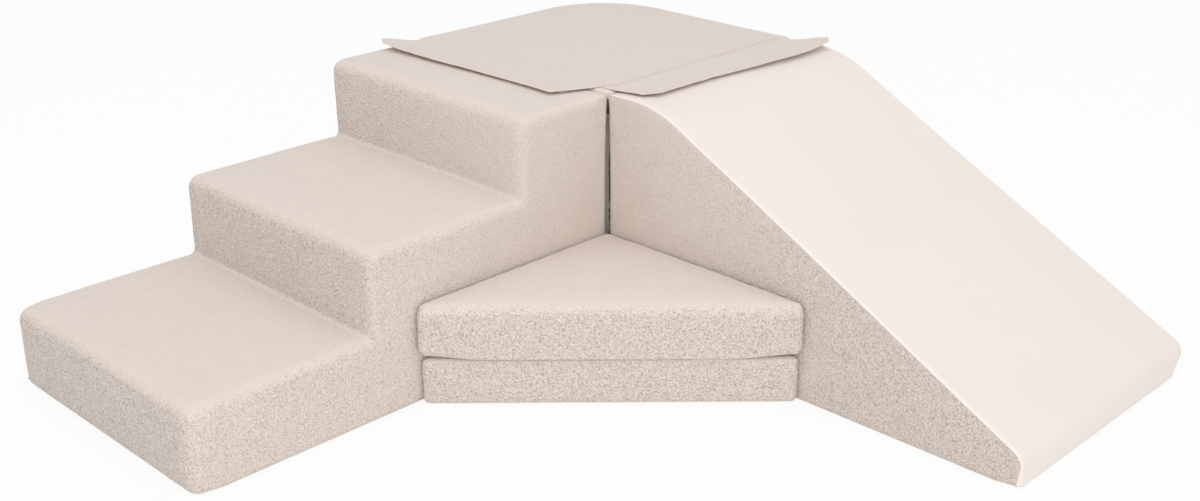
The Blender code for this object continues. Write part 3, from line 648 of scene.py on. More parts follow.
# Materials
class Finish:
    """One material under work: adds its nodes and joins them."""

    def __init__(self, name, colour, roughness, metallic=0.0, sheen=0.0):
        self.material = bpy.data.materials.new(name)
        self.material.use_nodes = True
        self.material.diffuse_color = (*colour, 1.0)
        self.tree = self.material.node_tree
        self.shader = self.tree.nodes["Principled BSDF"]
        self.shader.inputs["Base Color"].default_value = (*colour, 1.0)
        self.shader.inputs["Roughness"].default_value = roughness
        self.shader.inputs["Metallic"].default_value = metallic
        self.shader.inputs["Sheen Weight"].default_value = sheen
        self.place = self.add("ShaderNodeTexCoord", {}).outputs["Object"]

    def add(self, kind, sockets, **settings):
        """A node with its settings, its sockets set to values or joined to other nodes."""
        node = self.tree.nodes.new(kind)
        for key, value in settings.items():
            setattr(node, key, value)
        for key, value in sockets.items():
            if isinstance(value, bpy.types.NodeSocket):
                self.tree.links.new(value, node.inputs[key])
            else:
                node.inputs[key].default_value = value
        return node

    def math(self, operation, first, second=0.0):
        return self.add("ShaderNodeMath", {0: first, 1: second}, operation=operation).outputs[0]

    def vector(self, operation, sockets):
        return self.add("ShaderNodeVectorMath", sockets, operation=operation).outputs[0]

    def noise(self, size, detail=2.0, vector=None, output="Fac"):
        """Noise whose features are about one size across."""
        sockets = {"Vector": vector or self.place, "Scale": 1.0 / size, "Detail": detail}
        return self.add("ShaderNodeTexNoise", sockets).outputs[output]

    def cells(self, size, vector=None, feature="F1"):
        sockets = {"Vector": vector or self.place, "Scale": 1.0 / size}
        return self.add("ShaderNodeTexVoronoi", sockets, feature=feature).outputs["Distance"]

    def warped(self, size, reach):
        """Object places pushed about by noise, so that what follows curls."""
        colour = self.noise(size, 1.0, output="Color")
        centred = self.vector("SUBTRACT", {0: colour, 1: (0.5, 0.5, 0.5)})
        scaled = self.vector("SCALE", {0: centred, "Scale": reach})
        return self.vector("ADD", {0: self.place, 1: scaled})

    def span(self, value, low, high, out_low=0.0, out_high=1.0):
        """A value mapped from one range onto another, held at its ends."""
        sockets = {"Value": value, "From Min": low, "From Max": high, "To Min": out_low, "To Max": out_high}
        return self.add("ShaderNodeMapRange", sockets).outputs[0]

    def mix(self, share, first, second):
        """Two colours mixed by a share. A mix node's inputs 0, 6 and 7 are its factor and colours."""
        sockets = {0: share}
        for key, value in ((6, first), (7, second)):
            is_socket = isinstance(value, bpy.types.NodeSocket)
            sockets[key] = value if is_socket else (*value, 1.0)
        return self.add("ShaderNodeMix", sockets, data_type="RGBA").outputs[2]

    def upright(self):
        """Zero where a face looks straight up or down, one where it is upright."""
        normal = self.add("ShaderNodeNewGeometry", {}).outputs["Normal"]
        parts = self.add("ShaderNodeSeparateXYZ", {0: normal})
        level = self.math("ABSOLUTE", parts.outputs["Z"])
        return self.span(level, 0.35, 0.95, 1.0, 0.0)

    def bump(self, height, strength, distance):
        sockets = {"Height": height, "Strength": strength, "Distance": distance}
        return self.add("ShaderNodeBump", sockets).outputs["Normal"]

    def join(self, socket, value):
        self.tree.links.new(value, self.shader.inputs[socket])


def shade(colour, share):
    return tuple(part * share for part in colour)


def boucle_finish():
    """Looped wool-like cloth: domes of warped cells, with painted shade in the pits between them."""
    cloth = bpy.context.scene.climber_cloth
    colour = tuple(cloth.boucle_colour)
    made = Finish("boucle_cloth", colour, 0.95, sheen=0.18)
    curly = made.warped(0.008, 0.005)
    curls = made.cells(cloth.curl_width, curly)
    strands = made.cells(cloth.curl_width * 0.45, curly, "SMOOTH_F1")
    fuzz = made.noise(0.0012, 3.0)
    clumps = made.noise(0.03, 2.0)
    nap = made.add("ShaderNodeAttribute", {}, attribute_name="nap").outputs["Fac"]
    # Painted light and shade written on each piece
    painted_shading = made.add("ShaderNodeAttribute", {}, attribute_name="painted_shading").outputs["Fac"]
    loop_bump_and_shade_share = made.math("MULTIPLY", made.upright(), nap)
    dome = made.math("SUBTRACT", 1.0, curls)
    height = made.math("ADD", dome, made.math("MULTIPLY", strands, -0.4))
    height = made.math("ADD", height, made.math("MULTIPLY", fuzz, 0.3))
    made.join("Normal", made.bump(height, made.span(loop_bump_and_shade_share, 0.0, 1.0, 0.25, 1.0), 0.0026))
    # Painted shade in the pits between the loops and painted light on the loop tops, shown most on upright
    # faces and away from the inner corner
    pits = made.math("ADD", curls, made.math("MULTIPLY", made.noise(0.012, 2.0), 0.3))
    loops = made.mix(made.span(pits, 0.5, 1.08), shade(colour, 1.09), tuple(cloth.pit_shade_colour))
    ground = made.mix(made.span(clumps, 0.3, 0.7), shade(colour, 0.985), shade(colour, 1.015))
    shown = made.mix(made.span(loop_bump_and_shade_share, 0.0, 1.0, 0.1, 1.0), ground, loops)
    # The colour is scaled by the painted light and shade written on each piece
    made.join("Base Color", made.vector("SCALE", {0: shown, "Scale": painted_shading}))
    made.join("Roughness", made.span(fuzz, 0.3, 0.7, 0.88, 1.0))
    return made.material


def smooth_finish():
    """Short smooth cloth of the top panel and flaps: a fine nap with faint flecks of painted shade."""
    cloth = bpy.context.scene.climber_cloth
    colour = tuple(cloth.smooth_colour)
    made = Finish("smooth_cloth", colour, 0.92, sheen=0.2)
    nap = made.noise(0.0016, 3.0, made.warped(0.006, 0.003))
    patches = made.noise(0.05, 3.0)
    grains = made.cells(0.0032, made.warped(0.004, 0.002))
    height = made.math("ADD", nap, made.math("MULTIPLY", grains, -0.6))
    made.join("Normal", made.bump(height, 0.5, 0.0012))
    ground = made.mix(made.span(patches, 0.3, 0.7), shade(colour, 0.99), shade(colour, 1.01))
    # Painted shade: faint flecks where the grain's relief is low
    flecks = made.math("MULTIPLY", made.span(grains, 0.5, 0.9), 0.25)
    made.join("Base Color", made.mix(flecks, ground, tuple(cloth.pit_shade_colour)))
    made.join("Roughness", made.span(nap, 0.3, 0.7, 0.86, 0.98))
    return made.material


def leatherette_finish():
    """Slide leatherette: a faint pebble grain, a little gloss and slow changes of sheen."""
    cloth = bpy.context.scene.climber_cloth
    colour = tuple(cloth.leatherette_colour)
    made = Finish("slide_leatherette", colour, 0.5)
    pebbles = made.cells(0.0014, made.warped(0.003, 0.001), "SMOOTH_F1")
    wrinkles = made.noise(0.02, 4.0)
    height = made.math("ADD", pebbles, made.math("MULTIPLY", wrinkles, 0.4))
    made.join("Normal", made.bump(height, 0.16, 0.0004))
    patches = made.noise(0.12, 2.0)
    made.join("Base Color", made.mix(made.span(patches, 0.3, 0.7), shade(colour, 0.985), colour))
    made.join("Roughness", made.span(patches, 0.3, 0.7, 0.46, 0.56))
    return made.material


def simple_finish(name, colour, roughness, size, strength, metallic=0.0):
    """A plain material with fine grain in its colour, roughness and bump."""
    made = Finish(name, colour, roughness, metallic)
    grain = made.noise(size, 3.0)
    patches = made.noise(size * 12, 2.0)
    made.join("Normal", made.bump(grain, strength, size * 0.3))
    made.join("Base Color", made.mix(made.span(patches, 0.3, 0.7), shade(colour, 0.93), colour))
    made.join("Roughness", made.span(grain, 0.2, 0.8, roughness - 0.06, min(roughness + 0.06, 1.0)))
    return made.material


def base_finish():
    """Non-slip cloth: a weave with rows of raised rubber dots."""
    made = Finish("non_slip_cloth", (0.50, 0.46, 0.42), 0.8)
    dots = made.cells(0.006)
    raised = made.span(dots, 0.25, 0.35, 1.0, 0.0)
    weave = made.noise(0.0015, 2.0)
    height = made.math("ADD", raised, made.math("MULTIPLY", weave, 0.2))
    made.join("Normal", made.bump(height, 0.6, 0.0008))
    made.join("Base Color", made.mix(raised, (0.52, 0.47, 0.43), (0.30, 0.28, 0.26)))
    made.join("Roughness", made.span(raised, 0.0, 1.0, 0.9, 0.55))
    return made.material


def zip_finish():
    """Zip coil and tape: ribs across the coil, one tooth pitch apart, with painted shade in their troughs.
    """
    colour = (0.60, 0.53, 0.47)
    made = Finish("zip_nylon", colour, 0.55)
    parts = made.add("ShaderNodeSeparateXYZ", {0: made.place})
    along = made.math("ADD", parts.outputs["X"], parts.outputs["Y"])
    wave = made.math("SINE", made.math("MULTIPLY", along, 2 * math.pi / 0.0018))
    made.join("Normal", made.bump(made.span(wave, -1.0, 1.0), 0.7, 0.0006))
    # Painted shade in the troughs between the ribs
    made.join("Base Color", made.mix(made.span(wave, -1.0, 0.2), shade(colour, 0.6), colour))
    return made.material


def hook_finish():
    """Hook-and-loop tape: a dense field of short hooks, with painted shade between them."""
    colour = (0.80, 0.75, 0.70)
    made = Finish("strip_nylon", colour, 0.75)
    hooks = made.cells(0.0013)
    made.join("Normal", made.bump(made.span(hooks, 0.2, 0.7, 1.0, 0.0), 0.9, 0.0008))
    # Painted shade between the hooks
    made.join("Base Color", made.mix(made.span(hooks, 0.3, 0.8), colour, shade(colour, 0.55)))
    return made.material


FINISHES = {}


def finish(name):
    """The material of this name, made once."""
    makers = {
        "boucle_cloth": boucle_finish,
        "smooth_cloth": smooth_finish,
        "slide_leatherette": leatherette_finish,
        "non_slip_cloth": base_finish,
        "zip_nylon": zip_finish,
        "strip_nylon": hook_finish,
        "foam": lambda: simple_finish("foam", (0.86, 0.84, 0.77), 0.95, 0.002, 0.5),
        "slider_metal": lambda: simple_finish("slider_metal", (0.56, 0.52, 0.48), 0.34, 0.0008, 0.1, 1.0),
        "thread": lambda: simple_finish("thread", (0.66, 0.58, 0.52), 0.8, 0.0006, 0.4),
    }
    if name not in FINISHES:
        FINISHES[name] = makers[name]()
    return FINISHES[name]


def add_piece(mesh, name, body, material, replaced=()):
    """Links a finished mesh as a piece that rides on a body and stands for its nodes."""
    mesh.materials.clear()
    mesh.materials.append(finish(material))
    piece = place_object(mesh, name)
    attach(piece, body)
    if replaced:
        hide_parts(*replaced)
    return piece


# The modules' own axes and shapes
def stair_edges():
    """Where the treads begin and end along the stairs, read from the foam slabs."""
    fronts = [STAIRS_HIGH[1] - SLAB_BOXES[level][0][1] for level in ("upper", "middle")]
    return [0.0] + [front + COVER_WALL for front in fronts] + [STAIRS_HIGH[1] - STAIRS_LOW[1]]


def side_draw(along, across, level, length, width):
    """How far a long side is drawn in: most at the back and half way up, nothing at the front."""
    height = swell((level - STRAIGHT_BAND) / (MODULE_HEIGHT - STRAIGHT_BAND))
    turn = np.cos(np.clip(along / length, 0, 1) * math.pi / 2)
    return SIDE_DRAW * height * turn * (1 - 2 * across / width)


def stair_shape(points):
    """Treads swell by two bows multiplied, along and across, and the sides are drawn in."""
    edges = stair_edges()
    along, level, across = points.T
    rise = np.zeros(len(points))
    floor = np.zeros(len(points))
    for step, (start, end) in enumerate(zip(edges, edges[1:])):
        here = (along > start) & (along <= end)
        rise[here] = swell((along[here] - start) / (end - start))
        floor[here] = MODULE_HEIGHT - STEP_HEIGHT * (step + 1)
    share = np.clip((level - floor) / STEP_HEIGHT, 0, 1)
    crown = TREAD_CROWN * rise * swell(across / STAIRS_WIDTH) * share
    draw = side_draw(along, across, level, edges[-1], STAIRS_WIDTH)
    return np.column_stack([along, level + crown, across + draw])


# How far rims take to change beside the back, the floor, the stairs' front and the ramp's toe
RIM_FADE = 0.05
STAIRS_FRONT_REACH = 0.06
RAMP_RIM_FADE = 0.04
TOE_REACH = 0.05
TOE_INNER_RADIUS = 0.016


def gap_radius(level):
    """Radius of the two upright edges at the inner corner: small at the top, larger below."""
    share = np.clip(level / MODULE_HEIGHT, 0, 1)
    return GAP_FLOOR_RADIUS + (GAP_TOP_RADIUS - GAP_FLOOR_RADIUS) * share


def stairs_form(inset=0.0):
    """The stairs: their side view carried across their width, with softer rims on the treads."""
    edges = stair_edges()
    corners = [(inset, HEM_LIFT + inset), (edges[-1] - inset, HEM_LIFT + inset)]
    radii = [FLOOR_RADIUS, FRONT_FLOOR_RADIUS]
    for step in range(STEP_COUNT):
        level = STEP_HEIGHT * (step + 1) - inset
        back = edges[STEP_COUNT - step - 1]
        corners += [(edges[STEP_COUNT - step] - inset, level), (back - inset if back else inset, level)]
        radii += [NOSE_RADIUS, CREASE_RADIUS]
    radii[-1] = JOIN_RADIUS

    def rim(foot, at_high):
        """Tight beside the block, tighter towards the top there, and softest at the front."""
        from_back = smooth_step(foot[:, 0] / RIM_FADE)
        from_floor = smooth_step(foot[:, 1] / RIM_FADE)
        at_front = smooth_step((foot[:, 0] - edges[-1] + STAIRS_FRONT_REACH) / RIM_FADE)
        side = SIDE_RADIUS + (FRONT_SIDE_RADIUS - SIDE_RADIUS) * at_front
        front_floor = np.where(at_high, FRONT_FLOOR_RADIUS, OUTER_FRONT_RADIUS)
        floor = FLOOR_RADIUS + (front_floor - FLOOR_RADIUS) * at_front
        back = np.where(at_high, gap_radius(foot[:, 1]), JOIN_RADIUS)
        return back + (floor + (side - floor) * from_floor - back) * from_back

    origin = (STAIRS_LOW[0], STAIRS_HIGH[1], 0.0)
    axes = Axes(origin, (0.0, -1.0, 0.0), (0.0, 0.0, 1.0), (1.0, 0.0, 0.0))
    return PaddedForm(axes, corners, radii, (inset, STAIRS_WIDTH - inset), rim, stair_shape)


def ramp_corners(inset=0.0):
    """The ramp's side view, each side moved inwards."""
    slope = math.atan2(MODULE_HEIGHT - TOE_HEIGHT, RAMP_LENGTH - RAMP_LANDING)
    mitre = inset * math.tan((math.pi / 2 - slope) / 2)
    shoulder = inset * math.tan(slope / 2)
    corners = [(inset, HEM_LIFT + inset), (RAMP_LENGTH - inset, HEM_LIFT + inset)]
    corners += [(RAMP_LENGTH - inset, TOE_HEIGHT - mitre)]
    corners += [(RAMP_LANDING - shoulder, MODULE_HEIGHT - inset), (inset, MODULE_HEIGHT - inset)]
    return corners


# The puff of the landing's near corner: its height, and where it starts, ends and fades
PUFF_HEIGHT = 0.003
PUFF_START, PUFF_LENGTH = 0.005, 0.19
PUFF_WIDTH, PUFF_FADE = 0.060, 0.045
PUFF_FLOOR, PUFF_RISE = 0.3, 0.14


def landing_puff(along, across):
    """How far the landing stands up at its near corner: a bow along it that fades across it."""
    bow = PUFF_HEIGHT * swell((along - PUFF_START) / PUFF_LENGTH)
    return bow * smooth_step((PUFF_WIDTH - across) / PUFF_FADE)


def ramp_shape(points):
    """The slide swells a little, and the sides are drawn in as on the stairs."""
    along, level, across = points.T
    share = np.clip(level / MODULE_HEIGHT, 0, 1)
    crown = SLIDE_CROWN * swell(along / RAMP_LENGTH) * swell(across / RAMP_WIDTH) * share
    crown = crown + landing_puff(along, across) * smooth_step((level - PUFF_FLOOR) / PUFF_RISE)
    draw = side_draw(along, across, level, RAMP_LENGTH, RAMP_WIDTH)
    return np.column_stack([along, level + crown, across + draw])


def ramp_form(inset=0.0):
    """The ramp: its side view carried across its width, with rims tight along the slide."""

    def rim(foot, at_high):
        """Even along the slide, tighter up at the inner corner, and soft at the toe's outer corner."""
        from_back = smooth_step(foot[:, 0] / RAMP_RIM_FADE)
        back = np.where(at_high, JOIN_RADIUS, gap_radius(foot[:, 1]))
        at_end = smooth_step((foot[:, 0] - RAMP_LENGTH + TOE_REACH) / RAMP_RIM_FADE)
        at_toe = at_end * smooth_step((TOE_REACH - foot[:, 1]) / RAMP_RIM_FADE)
        toe = np.where(at_high, TOE_CORNER_RADIUS, TOE_INNER_RADIUS)
        radius = SLIDE_RIM + (toe - SLIDE_RIM) * at_toe
        return back + (radius - back) * from_back

    axes = Axes((RAMP_LOW[0], RAMP_LOW[1], 0.0), (1.0, 0.0, 0.0), (0.0, 0.0, 1.0), (0.0, 1.0, 0.0))
    radii = [FLOOR_RADIUS, FLOOR_RADIUS, TOE_RADIUS, SHOULDER_RADIUS, JOIN_RADIUS]
    span = (inset, RAMP_WIDTH - inset)
    return PaddedForm(axes, ramp_corners(inset), radii, span, rim, ramp_shape, RAMP_ARC_STEPS)


# Where the block's inner corner is drawn in, the flat margin of its top, and its softer top edge
INNER_DRAW_REACH = 0.06
INNER_DRAW_TOP, INNER_DRAW_FADE = 0.435, 0.05
TOP_MARGIN = 0.036
BLOCK_OUTER_RIM = NOSE_RADIUS - 0.006


def block_shape(points):
    """The block's sides are drawn in half way up, and its top swells inside a flat margin.

    Its inner corner is drawn in further below the top, by a square that falls off within 60 mm.
    """
    width = BLOCK_WIDTH
    x, y, level = points.T
    height = SIDE_DRAW * swell((level - STRAIGHT_BAND) / (MODULE_HEIGHT - STRAIGHT_BAND))
    pull_x = height * swell(y / width) * (1 - 2 * x / width)
    pull_y = height * swell(x / width) * (1 - 2 * y / width)
    near = np.clip(1 - np.hypot(width - x, y) / INNER_DRAW_REACH, 0, 1) ** 2
    drawn = INNER_CORNER_DRAW * near * smooth_step((INNER_DRAW_TOP - level) / INNER_DRAW_FADE)
    pull_x = pull_x - drawn
    pull_y = pull_y + drawn
    inner = width - 2 * TOP_MARGIN
    crown = BLOCK_CROWN * swell((x - TOP_MARGIN) / inner) * swell((y - TOP_MARGIN) / inner)
    return np.column_stack([x + pull_x, y + pull_y, level + crown * np.clip(level / TOP_LEVEL, 0, 1)])


def block_rim(foot):
    """The top edge is tight beside the stairs and the ramp, and softer on the two outer sides."""
    share_x, share_y = (foot / BLOCK_WIDTH).T
    outer = np.maximum(1 - share_x, share_y)
    near_join = np.maximum(share_x, 1 - share_y)
    blend = smooth_step((outer - near_join + 0.25) / 0.5)
    return JOIN_RADIUS + (BLOCK_OUTER_RIM - JOIN_RADIUS) * blend


def block_form(inset=0.0):
    """The corner block: its plan carried up its height, with one wide corner at the back."""
    far = BLOCK_WIDTH - inset
    corners = [(inset, inset), (far, inset), (far, far), (inset, far)]

    def rim(foot, at_high):
        return np.where(at_high, block_rim(foot), FLOOR_RADIUS)

    axes = Axes((BLOCK_LOW[0], BLOCK_LOW[1], 0.0), (1.0, 0.0, 0.0), (0.0, 1.0, 0.0), (0.0, 0.0, 1.0))
    span = (HEM_LIFT + inset, TOP_LEVEL - inset)
    radii = [SIDE_RADIUS, INNER_CORNER_RADIUS, SIDE_RADIUS, BACK_CORNER_RADIUS]
    radii = [radius - inset for radius in radii]
    return PaddedForm(axes, corners, radii, span, rim, block_shape, BACK_CORNER_STEPS)


# Where the mats' rims change at the front and towards the tips, and how their sides are drawn in
MAT_FRONT_REACH, MAT_FRONT_FADE = 0.03, 0.02
MAT_TIP_REACH, MAT_TIP_FADE = 0.08, 0.06
MAT_DRAW = 0.002
MAT_LIFT_START_SHARE = 0.8


def mat_form(name, inset=0.0):
    """A mat: a right-angled triangle with rounded corners, carried up its thickness."""
    low, high = MAT_BOXES[name]
    upper = name == "upper_mat"
    leg = MAT_LEG[name]
    thickness = MAT_THICKNESS[name]
    base = MAT_LEVEL[name]
    diagonal = inset * (1 + math.sqrt(2))
    corners = [(inset, -inset), (inset, -leg + diagonal), (leg - diagonal, -inset)]

    def rim(foot, at_high):
        """Softest along the upper mat's front, tight at its back and where the mats meet."""
        front = smooth_step((foot[:, 0] - foot[:, 1] - leg + MAT_FRONT_REACH) / MAT_FRONT_FADE)
        top = MAT_BACK_RADIUS + (MAT_RIM - MAT_BACK_RADIUS) * front
        from_back = np.maximum(foot[:, 0], -foot[:, 1])
        at_tip = smooth_step((from_back - leg + MAT_TIP_REACH) / MAT_TIP_FADE)
        parting = MAT_PARTING_RADIUS + (MAT_TIP_PARTING[name] - MAT_PARTING_RADIUS) * at_tip
        if upper:
            return np.where(at_high, top, parting)
        return np.where(at_high, parting, FLOOR_RADIUS)

    def shape(points):
        """The front is drawn in, the upper mat crowned and its tips lifted.

        The crown is 27 times the product of a place's three shares, so it is zero on all sides.
        """
        x, y, level = points.T
        share_x, share_y = x / leg, -y / leg
        front = np.clip(share_x + share_y, 0, 1)
        height = np.clip(level / thickness, 0, 1)
        along = swell((share_x - share_y + 1) / 2)
        pull = MAT_DRAW * front * along * swell(height) * math.sqrt(0.5)
        if not upper:
            return np.column_stack([x - pull, y + pull, level])
        crown = MAT_CROWN * 27 * np.clip(share_x, 0, 1) * np.clip(share_y, 0, 1) * (1 - front) * height
        from_back = np.maximum(share_x, share_y) - MAT_LIFT_START_SHARE
        reach = np.clip(from_back / (1 - MAT_LIFT_START_SHARE), 0, 1)
        lift = MAT_TIP_LIFT * reach * (1 - height)
        return np.column_stack([x - pull, y + pull, level + crown + lift])

    axes = Axes((low[0], high[1], base), (1.0, 0.0, 0.0), (0.0, 1.0, 0.0), (0.0, 0.0, 1.0))
    radii = [MAT_BACK_RADIUS, MAT_TIP_RADIUS, MAT_TIP_RADIUS]
    return PaddedForm(axes, corners, radii, (HEM_LIFT + inset, thickness - inset), rim, shape)


FLOOR_CLEARANCE = 0.002
CONTACT_REACH = 0.012
CONTACT_SINK = 0.0002
DEEP_PILE, LOW_PILE = 2.0, 0.6
FOAM_VOXEL = 0.016


def cover_freedom(normals, points, contacts):
    """One on free faces, zero on faces that lie against a neighbour or the floor."""
    free = smooth_step((points[:, 2] - FLOOR_CLEARANCE) / CONTACT_REACH)
    for direction, axis, place in contacts:
        facing = smooth_step((normals @ np.array(direction) - 0.5) / 0.4)
        near = smooth_step(1.0 - np.abs(points[:, axis] - place) / CONTACT_REACH)
        free = free * (1 - facing * near)
    return free


def add_foam(form, name, body):
    """A plain foam core, a little smaller than its cover."""
    mesh = applied(form.prism(), ("REMESH", {"mode": "VOXEL", "voxel_size": FOAM_VOXEL}))
    snapped = form.snapped(form.axes.local(read_points(mesh)))[0]
    write_points(mesh, form.axes.world(form.shape(snapped)))
    mesh.shade_smooth()
    add_piece(mesh, name + "_piece", body, "foam", [name])


def add_cover(form, name, body, voxel, levels, slack, cap, contacts, sink=None, deep=False):
    """A boucle cover: the padded form with its pile, and a sunk ground under any panel.

    deep gives the mats their deeper pile.
    """
    mesh, snapped, push, place = padded_mesh(form, voxel, slack, cap, levels)
    if sink is not None:
        snapped = sink(snapped, *place)

    def pile(points, normals, local):
        free = cover_freedom(normals, points, contacts)
        share = DEEP_PILE if deep else LOW_PILE
        return boucle_height(points, upright_share(normals), free, share) - CONTACT_SINK * (1 - free)

    finish_form(mesh, form, snapped, push, pile)
    points, normals = read_points(mesh), read_normals(mesh)
    # The nap sets the loops' bump and their painted pit shade; the second attribute holds the cloth's
    # painted light and shade
    write_attribute(mesh, "nap", nap_share(points, normals, deep))
    write_attribute(mesh, "painted_shading", painted_cloth_shading(points, normals, body, deep))
    piece = add_piece(mesh, name + "_piece", body, "boucle_cloth", [name])
    return piece


# The camera, fitted to 30 edges and 11 corners of the picture
CAMERA_PLACE = (1.6476, -1.6986, 1.2338)
CAMERA_HEADING = math.radians(134.355)
CAMERA_PITCH = math.radians(22.654)
CAMERA_LENS = 45.184


class ClimberCloth(PropertyGroup):
    """Colours and pile of the cloths."""

    boucle_colour: FloatVectorProperty(
        name="Boucle", description="Colour of the looped cloth", subtype="COLOR", size=3,
        default=(0.775, 0.690, 0.632), min=0.0, max=1.0)
    # Painted shade between the loops, and in the hollows of the smooth cloth's grain
    pit_shade_colour: FloatVectorProperty(
        name="Gaps", description="Colour between the loops", subtype="COLOR", size=3,
        default=(0.52, 0.44, 0.385), min=0.0, max=1.0)
    smooth_colour: FloatVectorProperty(
        name="Smooth cloth", description="Colour of the top panel and the flaps", subtype="COLOR",
        size=3, default=(0.775, 0.690, 0.636), min=0.0, max=1.0)
    leatherette_colour: FloatVectorProperty(
        name="Leatherette", description="Colour of the slide", subtype="COLOR", size=3,
        default=(0.895, 0.820, 0.780), min=0.0, max=1.0)
    pile_height: FloatProperty(
        name="Pile height", description="How far the loops stand out", subtype="DISTANCE",
        unit="LENGTH", default=0.0010, min=0.0, max=0.005)
    curl_size: FloatProperty(
        name="Curl size", description="Distance between the modelled curls", subtype="DISTANCE",
        unit="LENGTH", default=0.0062, min=0.004, max=0.03)
    curl_width: FloatProperty(
        name="Curl width", description="Width of one loop in the fine relief", subtype="DISTANCE",
        unit="LENGTH", default=0.0034, min=0.001, max=0.02)


class ClimberForms(PropertyGroup):
    """Fineness of the padded forms and how far their cloth swells."""

    voxel: FloatProperty(
        name="Base mesh", description="Spacing of the padded forms before subdivision",
        subtype="DISTANCE", unit="LENGTH", default=0.014, min=0.006, max=0.04)
    mat_voxel: FloatProperty(
        name="Mat mesh", description="Spacing of the mats before subdivision",
        subtype="DISTANCE", unit="LENGTH", default=0.0085, min=0.006, max=0.04)
    levels: IntProperty(
        name="Subdivisions", description="How often the padded forms are divided", default=2,
        min=0, max=3)
    swelling: FloatProperty(
        name="Swelling", description="How far the blown-up cloth may move", subtype="DISTANCE",
        unit="LENGTH", default=0.003, min=0.0, max=0.01)


class ClimberStage(PropertyGroup):
    """The floor and the light."""

    floor_size: FloatProperty(
        name="Floor", description="Side of the floor", subtype="DISTANCE", unit="LENGTH",
        default=16.0, min=2.0, max=60.0)
    sky: FloatProperty(
        name="Sky", description="Strength of the even light", default=0.735, min=0.0, max=4.0)
    lamp_power: FloatProperty(
        name="Lamp power", description="Power of the overhead softbox", subtype="POWER",
        unit="POWER", default=21.0, min=0.0, max=2000.0)


# Where the modules' cloth is free to swell: off the floor, off the back, and not beside the mats
SLACK_FADE = 0.05
SLACK_FLOOR = 0.02
STAIRS_HELD_BACK, RAMP_HELD_BACK = 0.12, 0.05
MAT_SIDE_BAND, MAT_SIDE_LENGTH, MAT_SIDE_HEIGHT = 0.03, 0.5, 0.2


def off_floor(level):
    return smooth_step((level - SLACK_FLOOR) / SLACK_FADE)


def held_by_mats(free, at_side, along, level):
    """The freedom, but none on the band of a side that the mats lie against."""
    beside = at_side & (along < MAT_SIDE_LENGTH) & (level < MAT_SIDE_HEIGHT)
    return np.where(beside, 0.0, free)


def sunk(form, snapped, depths, radius, at_high, amount):
    """The ground under a panel, moved in from both faces by an amount that fades over the rim."""
    inward, down = depths
    way = outline_depth(snapped[:, :2], form.loop)[1]
    moved = snapped.copy()
    moved[:, :2] += way * (amount * np.clip(1 - inward / radius, 0, 1))[:, None]
    moved[:, 2] += np.where(at_high, -1.0, 1.0) * amount * np.clip(1 - down / radius, 0, 1)
    return moved


class CLIMBER_OT_stairs(Operator):
    """Covers the stairs and fills them with three foam slabs"""

    bl_idname = "climber.stairs"
    bl_label = "Stairs"

    def execute(self, context):
        forms = context.scene.climber_forms
        form = stairs_form()

        def slack(local):
            along, level, across = local.T
            free = smooth_step((along - STAIRS_HELD_BACK) / SLACK_FADE) * off_floor(level)
            return held_by_mats(free, across > form.span[1] - MAT_SIDE_BAND, along, level)

        contacts = [((0.0, 1.0, 0.0), 1, STAIRS_HIGH[1])]
        add_cover(form, "stairs_cover", "stairs", forms.voxel, forms.levels, slack,
                  forms.swelling, contacts)
        inner = stairs_form(COVER_WALL)
        for step, level in enumerate(SLAB_BOXES):
            add_stair_slab(step, level, inner)
        return {"FINISHED"}


SLAB_RADIUS = 0.004
SLAB_RIM_REACH = 0.02


def add_stair_slab(step, level, inner):
    """One slab of the glued core, cut from the inner form of the stairs."""
    bottom, top = SLAB_BOXES[level][0][2], STEP_HEIGHT * (step + 1) - COVER_WALL
    front = stair_edges()[STEP_COUNT - step] - COVER_WALL
    corners = [(COVER_WALL, bottom), (front, bottom), (front, top), (COVER_WALL, top)]
    radii = [SLAB_RADIUS, SLAB_RADIUS, NOSE_RADIUS - COVER_WALL, SLAB_RADIUS]

    def rim(foot, at_high):
        """Small at the glued faces, and as soft as the cover's own edge at the front."""
        at_front = foot[:, 0] > front - SLAB_RIM_REACH
        side = np.where(at_front, FRONT_SIDE_RADIUS, SIDE_RADIUS) - COVER_WALL
        return np.where(foot[:, 1] > bottom + SLAB_RIM_REACH, side, SLAB_RADIUS)

    slab = PaddedForm(inner.axes, corners, radii, inner.span, rim, stair_shape)
    add_foam(slab, f"stairs_foam_{level}_slab", "stairs")


